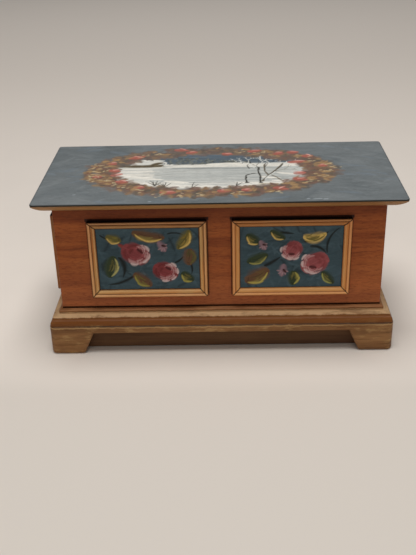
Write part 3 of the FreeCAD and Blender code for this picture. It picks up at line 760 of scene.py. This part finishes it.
def bud(field, middle, size, faces):
    """A small closed bloom: a grey lilac wash, ragged pale petals and a dark slit."""
    ends = [around(middle, size / 2, faces + turn) for turn in (180, 0)]
    stroke(field, *ends, size * 0.8, (LILAC * 0.8, LILAC * 0.55), soft=0.8)
    for turn in (-80, -40, 0, 40, 80):
        rim, inner = around(middle, size * 0.42, faces + turn), around(middle, size * 0.1, faces + turn + 30)
        stroke(field, rim, inner, size * 0.18, (BLUSH * 0.75, LILAC * 0.8), soft=0.9, cover=0.75, body=0.06)
    stroke(field, around(middle, size * 0.1, faces + 180), around(middle, size * 0.3, faces + 60),
           size * 0.32, (DEEP * 0.7, DEEP * 0.4), soft=0.8)


def leaf(field, base, tip, width, curl=0, dark=MOSS, light=OLIVE, glint=YELLOW):
    """A soft dark shape with loose green pulls over it, bright ones low down and dark ones in the vein."""
    base, tip = np.array(base, float), np.array(tip, float)
    run = tip - base
    long = np.hypot(*run)
    down = np.array([run[1], -run[0]]) / long
    down = -down if down[1] > 0 else down
    side = np.sign(run[0] * down[1] - run[1] * down[0])
    stroke(field, base, tip, width * 1.3, (dark, dark * 0.8), bend=curl, tips=(0.4, 0.45), soft=0.7,
           body=0.05, dryness=0)

    def pull(first, last, thick, colours, cover, body):
        """One pull inside the leaf, between two places given as a share of its length and half width."""
        ends = []
        for along, aside in (first, last):
            half = width * 0.6 * math.sin(math.pi * min(max(along, 0.08), 0.92))
            ends.append(base + run * along + down * aside * half)
        stroke(field, *ends, thick * width, colours, bend=side * 0.05 * long, tips=(0.5, 0.6), soft=0.9,
               cover=cover, body=body)

    for _ in range(5):
        start, aside = between(0.05, 0.5), between(-0.5, 0.6)
        tone = blend(light, glint, 0.2) if aside > 0.1 else light
        pull((start, aside), (start + between(0.3, 0.45), aside + between(-0.3, 0.3)),
             between(0.25, 0.45), (tone, tone * 0.8), 0.7, 0.07)
    pull((0.1, 0.5), (0.6, 0.85), 0.26, (blend(glint, light, 0.15), glint), 0.85, 0.1)
    pull((0.4, 0.9), (0.93, 0.6), 0.3, (glint, glint * 0.8), 0.9, 0.11)
    pull((0.3, 0.45), (0.7, 0.5), 0.16, (blend(glint, light, 0.3), light), 0.7, 0.09)
    pull((0.2, -0.1), (0.75, -0.2), 0.12, (dark * 0.45, dark * 0.5), 0.7, 0.05)
    pull((0.8, -0.6), (0.98, 0.2), 0.2, (dark * 0.4, dark * 0.4), 0.6, 0.05)


def stalk(field, start, end, bend=0, width=0.55):
    """A soft dark line that thins towards its end."""
    stroke(field, start, end, 1.5 * width, (STALK, STALK), bend=bend, tips=(0.3, 0.7), soft=0.8, cover=0.9)


def dab(field, start, end, width, *colours):
    """A single soft pull."""
    stroke(field, start, end, width, colours, soft=0.8)


print("a rose takes", 1 + 4 + 16 + 5 + 3 + 3, "pulls of the brush")


# %% [markdown]
# ## Three painted panels
#
# The two front panels and the panel on the left end have roses of the same kind, each laid out one by one.
# A bouquet lists what is painted, from back to front, with places measured from the middle of the
# panel, in millimetres to the right and up.

# %% Lay out the panels
TEAL_DARK, TEAL_LIGHT = paint(44, 64, 73), paint(70, 94, 104)
GOLD_GREEN, STRAW, WHEAT = paint(150, 126, 48), paint(190, 180, 90), paint(196, 180, 90)
PANEL_STEP, PANEL_MARGIN = 0.14, 0.06
# Stalks: start, end, bow, width. Leaves: base, tip, width, bow, dark, light and bright tones.
# Buds: middle, size, where it faces. Roses: the same, where the heart sits, and how warm it is.
LEFT_BOUQUET = {
    stalk: (
        ((-4.5, -5.4), (-13, -8.5), 0.8, 1.1), ((-9, 0.8), (-8.2, -6.2), 1.2, 1.6),
        ((8, -1.3), (10.8, 1), -0.3, 0.8), ((12.6, -1), (13, -5.2), 0.4, 0.8),
        ((-14.3, 8.2), (-10.5, 6.4), -0.3), ((6, 8.3), (11.5, 7.6), 0.6),
    ),
    leaf: (
        ((-12.6, 7.6), (-7.9, 6.1), 3.2, 0, OLIVE, paint(132, 122, 52)),
        ((-4.6, 8.9), (5.2, 7), 4, -0.4, RUSSET),
        ((12.9, 9.4), (8.9, 3.2), 4, 0.4, OLIVE, GOLD_GREEN),
        ((12.6, 3.4), (12.3, -2.3), 4.2, 0, RUSSET, paint(88, 84, 46), OLIVE),
        ((-10.4, 1.2), (-12.2, -6.2), 4, -0.5, MOSS, OLIVE, paint(196, 190, 120)),
        ((-4.8, -4.8), (0.6, -9.2), 3.8, 0, RUSSET, OLIVE, paint(170, 160, 70)),
        ((9.8, -4.8), (13.6, -7.6), 3.6, 0, MOSS, OLIVE, paint(180, 170, 80)),
    ),
    bud: (((4.3, 4.2), 4.2, -60),),
    dab: (((-9, 5.2), (-6.8, 3.8), 1.7, paint(150, 70, 52), RED),),
    rose: (((-3.8, 1.9), 9.4, -30, 35, 0.65), ((5, -4.2), 8.2, -25, 50, 0.8)),
}
RIGHT_BOUQUET = {
    stalk: (
        ((10.8, 1.2), (15, 10), 1.6, 0.8), ((3.8, 5), (11.4, 8.8), -0.8, 0.9),
        ((5.6, 3.6), (10.6, 1), 0.9, 1), ((-8.2, -2.8), (-3.2, 0.2), -0.2, 1.3),
        ((-3.4, 8.3), (0.8, 7.8), 0, 0.9),
    ),
    leaf: (
        ((-13.6, 7.6), (-9.6, 4.6), 3.6),
        ((-6.4, 8.8), (-1.9, 6), 2.8, 0, MOSS, MOSS),
        ((3.4, 6.6), (10.4, 7.6), 3.4, -0.9, YELLOW, OLIVE, OLIVE),
        ((-7, 1), (-13.4, -1.6), 3.6, 0, MOSS, MOSS, paint(176, 170, 90)),
        ((-6.6, -4.2), (-14, -8.2), 5, 0, RUSSET, paint(116, 92, 52), WHEAT),
        ((0.9, -4.6), (0.6, -9.6), 3.8, 0, MOSS, OLIVE, STRAW),
        ((9.4, -5), (13.2, -9.2), 3, 0, MOSS, OLIVE, paint(176, 176, 92)),
    ),
    bud: (((-8.6, 4.1), 3.6, -60), ((-2.5, -4.4), 4.4, -100)),
    rose: (((0.3, 2.2), 7.4, -120, -100, 0.4), ((7.2, -2.1), 9.2, -150, -110, 0.3)),
}
END_BOUQUET = {
    stalk: (
        ((-4, 0.5), (-11.5, 4.4), -0.8, 0.9), ((4, -0.5), (11.5, -4.6), -0.8, 0.9),
        ((3, 3), (9.5, 6.8), 0.5, 0.8), ((-3, -3), (-9.8, -6.4), 0.5, 0.8),
    ),
    leaf: (
        ((-4.2, 3.6), (-9, 8.4), 3.6),
        ((4.4, 3.2), (7.6, 8.8), 3.4, 0, RUSSET),
        ((-7.6, 0.4), (-13.4, -1.6), 3.8, 0.5, OLIVE, GOLD_GREEN),
        ((7.8, 0.6), (13.6, 2.4), 3.8, 0.5),
        ((-3.8, -4.8), (-6.6, -9.2), 3.2, 0, MOSS, OLIVE, STRAW),
        ((4.6, -4.8), (9.4, -8.6), 3.4, 0, RUSSET, OLIVE, WHEAT),
    ),
    bud: (((-11.8, 5), 4, 150), ((11.8, -5.2), 4, -30)),
    rose: (((0, 0), 9.6, -50, 20, 0.5),),
}


def paint_panel(node, bouquet, across, end):
    """Paints one panel: streaky teal, then the bouquet, and lays the film on its outer face."""
    low, high = box_mm(node)
    half = np.array([(high - low)[1 if end else 0], (high - low)[2]]) / 2 - PANEL_MARGIN
    field = blank_field(-half, half, (PANEL_STEP, PANEL_STEP))
    ground_coat(field, TEAL_DARK, TEAL_LIGHT, (5, 1.6))
    scumble(field, 150, (TEAL_DARK, paint(84, 108, 120)), 3.6, 2, 80)
    scumble(field, 26, (paint(20, 32, 38), TEAL_DARK), 4, 2.2, 80, 0.6)
    scumble(field, 14, (paint(96, 120, 130), TEAL_LIGHT), 3, 1.8, 80, 0.5)
    for part, places in bouquet.items():
        for place in places:
            part(field, *place)
    out = np.cross(across, (0, 0, 1))
    face = np.where(out > 0.5, high, low)
    origin = np.where(np.abs(out) > 0.5, face, (low + high) / 2)
    return film(node + "_painting", field, origin, across, (0, 0, 1), "chest",
                panel_film_paint)


paint_panel("front_left_panel", LEFT_BOUQUET, (1, 0, 0), end=False)
paint_panel("front_right_panel", RIGHT_BOUQUET, (1, 0, 0), end=False)
paint_panel("left_end_panel", END_BOUQUET, (0, -1, 0), end=True)


# %% [markdown]
# ## The lid: ground, pond and snow
#
# The lid is painted like a small winter picture in a wreath. The ground is a blue-grey brushed along the
# lid. Inside the wreath come far woods, then a frozen pond laid in with long level pulls, then the snowy
# bank in front of it. Light colours go on last, as with real opaque paint.

# %% Ground, woods, pond and snow
LID_STEP, LID_MARGIN = (0.25, 0.28), 0.35
lid_middle = (lid_low + lid_high) / 2
lid_half = (lid_high - lid_low) / 2 - LID_MARGIN
lid_field = blank_field(-lid_half[:2], lid_half[:2], LID_STEP)
ground_coat(lid_field, paint(96, 103, 106), paint(124, 130, 133), (7, 2.6))
scumble(lid_field, 320, (paint(90, 98, 103), paint(132, 138, 141)), 8, 3.6, 60)
scumble(lid_field, 50, (paint(104, 118, 130), paint(126, 138, 150)), 7, 3.6, 40)
on_lid = functools.partial(stroke, lid_field)

SNOW, SNOW_SHADE, ICE = paint(232, 229, 220), paint(200, 202, 198), paint(180, 184, 182)
ICE_DARK, HILL = paint(134, 140, 140), paint(84, 98, 110)
PICTURE, PICTURE_RADII, PULL_LENGTH = (-2.5, -0.6), (32, 16.6), 18


def picture_edge(y):
    """Left and right ends of the oval picture at that height: x = a sqrt(1 - (y / b) squared)."""
    share = min(0.999, abs((y - PICTURE[1]) / PICTURE_RADII[1]))
    reach = PICTURE_RADII[0] * math.sqrt(1 - share * share)
    return PICTURE[0] - reach, PICTURE[0] + reach


def level_pulls(heights, width, colours, left=-math.inf, right=math.inf, cover=0.85):
    """Long level strokes, one for each height, kept inside the oval and between left and right."""
    for y in heights:
        ends = picture_edge(y)
        first = max(ends[0], left) + between(0, 2.5)
        last = min(ends[1], right) - between(0, 2.5)
        pieces = max(1, round((last - first) / PULL_LENGTH))
        for count in range(pieces):
            begin = first + (last - first) * count / pieces - 1
            finish = first + (last - first) * (count + 1) / pieces + 1
            shade = blend(*colours, between(0, 1))
            on_lid((begin, y + between(-0.3, 0.3)), (finish, y + between(-0.3, 0.3)), width,
                   (shade, shade), bend=between(-0.2, 0.2), tips=(0.15, 0.15), cover=cover, soft=0.5)


def short_pulls(places, begin, finish, width, colours, **how):
    """Strokes with their middles on x and y and a length: begin and finish raise their two ends."""
    for x, y, long in places:
        on_lid((x - long / 2, y + begin), (x + long / 2, y + finish), width, colours, **how)


level_pulls(np.arange(6.5, 15.5, 0.9), 1.6, (HILL, paint(98, 112, 124)))
level_pulls(np.arange(-15.6, 6.2, 0.8), 1.6, (SNOW_SHADE, SNOW))
level_pulls(np.arange(-9.5, 2.6, 0.6), 1.3, (ICE, SNOW_SHADE), left=-21)
level_pulls(np.arange(-8.5, 2.4, 1.3), 0.7, (ICE_DARK, ICE), left=-18, right=22, cover=0.6)
level_pulls((2.7, 2.2), 0.7, (ICE_DARK, paint(96, 104, 104)), left=-15, right=10, cover=0.7)
level_pulls(np.arange(3.6, 6, 0.6), 1, (SNOW, SNOW), left=-16, cover=0.7)
print("lid field has", lid_field["x"].size, "points")


# %% Far woods, the snowy bank and the shore
WOOD_TONES = (paint(128, 130, 118), paint(72, 76, 72), paint(104, 106, 98), paint(88, 94, 96))
DRY_BANK, HOLLOW = paint(104, 94, 74), paint(78, 68, 52)
for _ in range(260):
    x = between(-17, 10)
    y = between(5.8, 13.6 - 0.24 * (x + 17))
    tall, lean = between(0.8, 2.2), between(-1.2, 1.2)
    shade = WOOD_TONES[chance.integers(4)]
    on_lid((x, y), (x + lean, y + tall), between(0.6, 1.6), (shade, shade), tips=(0.5, 0.8),
           cover=0.6, soft=0.9)
for x in np.arange(-15, 8, 2):
    on_lid((x, 6.2 + 0.02 * x), (x + 3, 6 + between(-0.3, 0.3)), 0.9, (WOOD_TONES[1],) * 2,
           cover=0.8, soft=0.8)
on_lid((-4, 5.6), (12.5, 5.2), 2.2, (SNOW, SNOW), bend=0.9, tips=(0.1, 0.1), soft=0.5, body=0.08)
on_lid((10, 5.4), (24, 5.8), 1.6, (SNOW_SHADE, SNOW), soft=0.5, body=0.08)
on_lid((-33.5, 4.9), (-17.5, 5.1), 3.4, (DRY_BANK, HOLLOW), tips=(0.4, 0.2), soft=0.5, dryness=0)
for y, wide in ((7.4, 3.2), (8.8, 3.2), (10.2, 2.2)):
    on_lid((-32 + 0.5 * y, y), (-17.6, y - 0.2), wide, (SNOW_SHADE, SNOW), tips=(0.3, 0.45), soft=0.4,
           body=0.08, dryness=0)
on_lid((-22, 4.8), (-18, 8.2), 3, (HOLLOW, DRY_BANK), bend=0.5, soft=0.6, dryness=0)
arc(lid_field, (-19.8, 6.6), (2.9, 3), 130, -60, 1.2, (SNOW, SNOW_SHADE), tips=(0.6, 0.4), soft=0.6)
for _ in range(8):
    spot = (between(-31, -19), between(4, 6.4))
    on_lid(spot, (spot[0] + 1.5, spot[1] + 0.4), 0.6, (paint(170, 156, 122),) * 2, cover=0.6, soft=0.9)
for count in range(26):
    x = -29 + 2 * count + between(-0.8, 0.8)
    y = PICTURE[1] - (PICTURE_RADII[1] - 1.6) * math.sqrt(max(0, 1 - ((x - PICTURE[0]) / 31.5) ** 2))
    on_lid((x - 2.6, y + between(0.6, 2.4)), (x + 2.6, y + between(0.4, 2)),
           between(1.4, 2.6), (SNOW, paint(236, 234, 226)), soft=0.7, body=0.08)
DRIFTS = ((-27, -4.2, 8), (-21.5, -6.6, 9), (-13, -9.6, 8), (16, -7, 7), (21, -3.5, 6))
CRACKS = ((-14, -0.8, 8), (-18, -3.6, 5), (-4, 1.6, 12), (13, 2.2, 8), (19, -8, 5))
short_pulls(DRIFTS, 1, -1, 2.2, (SNOW, SNOW), soft=0.6, body=0.08)
short_pulls(CRACKS, 0, 0.4, 0.9, (ICE_DARK, paint(150, 150, 142)), cover=0.7, soft=0.8)
print("snow and shore laid in")


# %% [markdown]
# ## Bare trees
#
# A bare tree is one rule used again and again: a branch splits into two shorter, thinner ones. Frost is
# the same rule in white. The lid is seen at a slant, so the painter drew the trees tall.

# %% Trees and tufts
BARK, FROST, TWIG = paint(58, 56, 50), paint(222, 224, 220), paint(112, 102, 84)


def branch(foot, heading, long, width, tone, splits):
    """Pulls one branch from its foot, then grows two from its end until no splits are left."""
    end = around(foot, long, heading)
    on_lid(foot, end, width, (tone, tone), bend=between(-0.08, 0.08) * long, tips=(0.1, 0.35),
           cover=0.9, soft=0.8, body=0.06)
    if splits:
        for lean in (between(15, 40), -between(15, 40)):
            branch(end, heading + lean, long * between(0.55, 0.8), width * 0.7, tone, splits - 1)


def limb(width, first, second, *points):
    """A bough in two tones through those places, one pull from each to the next."""
    for begin, finish in zip(points, points[1:]):
        on_lid(begin, finish, width, (first, second), bend=between(-0.3, 0.3), tips=(0.15, 0.2),
               soft=0.7, body=0.07, dryness=0)


for tree in (
    ((13, 0), 105, 4, 0.6, BARK, 3), ((14.6, 2.4), 70, 3.6, 0.6, BARK, 3),
    ((9.8, 1), 100, 3.6, 0.6, BARK, 2), ((17, -2), 30, 4, 0.5, TWIG, 2),
    ((11.4, 2), 112, 5, 0.8, FROST, 3), ((12.6, 3.4), 70, 4.6, 0.7, FROST, 3),
    ((16.4, 4.6), 108, 4.2, 0.8, FROST, 3), ((20.4, 2.2), 84, 3, 0.8, FROST, 2),
    ((22, 5.6), 40, 3.4, 0.6, FROST, 1), ((9, 4.4), 120, 3, 0.6, FROST, 2),
):
    branch(*tree)
limb(0.9, BARK, BARK, (8.6, -11.2), (8.3, -8), (8.4, -5.4), (10, -3.7), (11.6, -3.1))
limb(1, BARK, BARK, (12.9, -11.6), (12.8, -8), (12.9, -5.6), (12.4, -1), (12.8, 2.4))
limb(1.2, BARK, TWIG, (13.2, -10.4), (14.8, -6.6), (18.1, -0.1), (20.6, 5.7))
limb(0.6, FROST, FROST, (14.2, -9), (15.6, -5.4), (17.8, -1.6))
limb(0.8, BARK, TWIG, (15.4, -5), (14.4, -1), (14.5, 2.4), (15.2, 6))
limb(0.8, TWIG, TWIG, (16.3, -4.6), (18.2, -7.4), (19.9, -10.3))
limb(0.9, paint(206, 192, 146), SNOW, (12, -12.3), (14.6, -12), (18.4, -12.6), (21, -11.4))
for x, y, blades in ((-19.4, -12.8, 5), (-16.5, -13.9, 5), (-7.9, -15.4, 2), (5.2, -14.4, 2)):
    for heading in (66, 84, 97, 112, 128)[:blades]:
        tip = around((x, y), (5, between(3.6, 5.6)), heading)
        on_lid((x, y), tip, 0.55, (BARK, BARK), bend=between(-0.4, 0.4), tips=(0.2, 0.5), soft=0.8,
               body=0.06, dryness=0)
for x, y in ((12.9, -11.4), (8.7, -11.2), (4, -13.8), (-8.2, -15.2), (-1, -14.6)):
    on_lid((x - 0.7, y), (x + 0.7, y + 0.2), 1.3, (paint(46, 48, 42), BARK), soft=0.8, dryness=0)
print("trees grown")


# %% [markdown]
# ## The wreath
#
# The wreath is a few hundred small dabs, each a leaf of two browns. They start at the back and end at
# the front, so that each overlaps the one behind. Rose-red leaves are placed one by one, because the eye
# finds them first, and cream berries sit on top in small groups.

# %% Wreath of leaves and berries
LEAF_BROWNS = (
    (paint(138, 98, 76), paint(116, 92, 80)), (paint(158, 122, 86), paint(124, 98, 76)),
    (paint(130, 90, 74), paint(106, 88, 80)), (paint(164, 134, 96), paint(130, 106, 80)),
    (paint(116, 100, 82), paint(98, 90, 82)), (paint(84, 78, 70), paint(104, 92, 80)),
)
HAZE, RED_LEAF, ROSE_LEAF = paint(104, 102, 100), paint(168, 92, 78), paint(196, 118, 108)
OCHRE, CREAM = paint(176, 146, 106), paint(214, 202, 168)
WREATH_MIDDLE, WREATH_RADII, WREATH_HALF = (-2.6, -0.2), (35.2, 18.8), (4.4, 3.2)


def wreath_place(angle, reach):
    """A point on an oval between the wreath's inner edge, reach -1, and its outer edge, reach 1."""
    radii = [radius + half * reach for radius, half in zip(WREATH_RADII, WREATH_HALF)]
    return around(WREATH_MIDDLE, radii, angle)


def wreath_leaf(place, long, width, heading, colours, body=0.07, cover=0.8, soft=0.9):
    """One dab with its middle on that place."""
    ends = [around(place, reach, heading) for reach in (-long / 2, long / 2)]
    on_lid(*ends, width, colours, bend=between(-0.3, 0.3), tips=(0.5, 0.7), cover=cover, soft=soft,
           body=body, dryness=0.5)


for angle in np.linspace(90, 450, 260, endpoint=False):
    tone = paint(122, 98, 84) if chance.random() < 0.6 else paint(100, 90, 84)
    spot = wreath_place(angle, between(-1, 1))
    wreath_leaf(spot, 6, 5, between(0, 360), (tone, tone), 0.03, cover=0.55, soft=1)
for angle in np.linspace(90, 450, 760, endpoint=False):
    faded = 0.15 + 0.3 * max(0, math.sin(math.radians(angle)))
    pair = [blend(tone, HAZE, faded) for tone in LEAF_BROWNS[chance.integers(len(LEAF_BROWNS))]]
    reach = float(np.clip(chance.normal(0, 0.65), -1.15, 1.1))
    wreath_leaf(wreath_place(angle, reach), between(2.6, 4), between(2.6, 4.4),
                between(0, 360), pair)
for x, y, long in (
    (-27, 13.5, 7), (-33, 1, 5), (-32, -2.5, 5), (-29.8, -8.8, 5), (-15, -18.4, 6),
    (-12.5, 20.5, 6), (2.8, 15.6, 4.5), (12, 18.4, 6), (24.6, 16.4, 5), (25.4, 6.8, 8),
    (25.3, -3.6, 5), (25, -8.8, 6), (18.6, -16.4, 6), (1.6, -17.8, 5), (-24, -14, 4),
    (29, 12.5, 5), (-9, 17.6, 5), (19.6, 15.6, 5), (-34.5, 8, 4), (-38, -4, 4),
    (8.4, -17.6, 4), (33, 3, 4),
):
    pair = (RED_LEAF, blend(ROSE_LEAF, RED_LEAF, between(0, 0.5)))
    wreath_leaf((x, y), long * 0.85, 5, chance.normal(0, 14), pair, 0.09)
    glint = (ROSE_LEAF, paint(222, 178, 166))
    wreath_leaf((x + 0.4, y + 0.8), long * 0.5, 1.6, chance.normal(0, 25), glint, 0.09)
for count in range(90):
    angle = between(150, 390) if count < 70 else between(0, 180)
    wreath_leaf(wreath_place(angle, between(-0.6, 1)), between(1.8, 3.4),
                between(1.6, 3), chance.normal(0, 40), (OCHRE, paint(148, 116, 84)), 0.09)
for angle in (160, 170, 178, 186, 192, 198, 206, 214, 222, 236, 246, 258, 266, 284, 300, 330, 345, 354,
              4, 14, 26, 38, 62, 72, 118, 128):
    group = wreath_place(angle, between(-0.2, 1))
    for _ in range(5):
        spot = (group[0] + chance.normal(0, 1.4), group[1] + chance.normal(0, 1))
        wreath_leaf(spot, between(0.9, 1.8), between(0.7, 1.1), chance.normal(0, 30),
                    (CREAM, OCHRE), 0.11)
# Plain pale dashes near the lid's front rim.
DASHES = ((28.5, -25.2, 3), (31, -25.4, 1.8), (26, -25, 1.2), (-20, -25.3, 1), (-43, -19, 1.2))
short_pulls(DASHES, 0, 0.2, 0.7, (paint(186, 196, 204),) * 2, cover=0.7, soft=0.9)
film("lid_painting", lid_field, (*lid_middle[:2], lid_top), (1, 0, 0), (0, 1, 0), "lid",
     lid_film_paint)


# %% [markdown]
# ## Floor, light and camera
#
# A pale floor that has no edge in sight, one large soft lamp high above the chest and a little in front
# of it, which leaves the feet in soft shadow, and a weak lamp in front that stands for light thrown back
# by the table. Standard colour keeps the paint cards honest.

# %% Floor
def stand(name, data):
    """Puts a mesh, a lamp or a camera in the scene."""
    thing = bpy.data.objects.new(name, data)
    bpy.context.scene.collection.objects.link(thing)
    return thing


def pale_floor(name):
    """Warm white with a faint mottle, painted greyer near the viewer and paler far behind the chest as
    painted shade and light.
    """
    card = Recipe(name)
    card.colour = card.mix(card.rise(card.noise(60), 0.3, 0.7), paint(226, 218, 210), paint(230, 222, 214))
    card.over(card.y, 60, 260, paint(224, 216, 208))
    card.over(card.y, 300, 700, paint(246, 238, 230))
    card.over(card.y, -26, -50, paint(214, 207, 199))
    return card.done(0.75)


side = 3.0
floor_mesh = bpy.data.meshes.new("floor")
corners = [(-side, -side, 0), (side, -side, 0), (side, side, 0), (-side, side, 0)]
floor_mesh.from_pydata(corners, [], [(0, 1, 2, 3)])
floor_mesh.materials.append(pale_floor("pale_floor"))
floor = stand("floor", floor_mesh)
print("floor is", 2 * side, "m wide")


# %% Light
CHEST_MIDDLE, LAMP_WIDTH = Vector((0, 0, 0.025)), 0.5


def soft_lamp(name, place, power, colour):
    """A square lamp at that place that faces the chest."""
    data = bpy.data.lights.new(name, "AREA")
    data.size = LAMP_WIDTH
    data.energy = power
    data.color = colour
    lamp = stand(name, data)
    lamp.location = place
    lamp.rotation_euler = (CHEST_MIDDLE - Vector(place)).to_track_quat("-Z", "Y").to_euler()


soft_lamp("ceiling_light", (-0.01, -0.05, 0.9), 6.8, (1, 0.978, 0.95))
soft_lamp("table_bounce", (0, -0.6, 0.5), 0.95, (1, 0.97, 0.92))
world = bpy.data.worlds.new("room")
bpy.context.scene.world = world
world.use_nodes = True
world.node_tree.nodes["Background"].inputs["Color"].default_value = (0.95, 0.93, 0.905, 1)
world.node_tree.nodes["Background"].inputs["Strength"].default_value = 0.08
bpy.context.scene.view_settings.view_transform = "Standard"
print("lamps placed")


# %% Camera
eye = Vector((2.06, -251.59, 142.79)) * MM
turn_left, tilt_down, lean = math.radians(1.438), math.radians(27.195), math.radians(-1.477)
camera_data = bpy.data.cameras.new("camera")
camera_data.lens = 54.5
camera_data.sensor_width = 36
camera_data.clip_start = 0.01
camera = stand("camera", camera_data)
level = Matrix.Rotation(turn_left, 4, "Z") @ Matrix.Rotation(math.pi / 2 - tilt_down, 4, "X")
camera.matrix_world = Matrix.Translation(eye) @ level @ Matrix.Rotation(lean, 4, "Z")
bpy.context.scene.camera = camera
print("camera stands", round(eye.length, 3), "m from the chest")


# %% [markdown]
# ## Size and finish
#
# The finished chest is as large as the solids, but for the film of paint on the lid, which stands about
# 0.15 mm above the board at its thickest strokes.
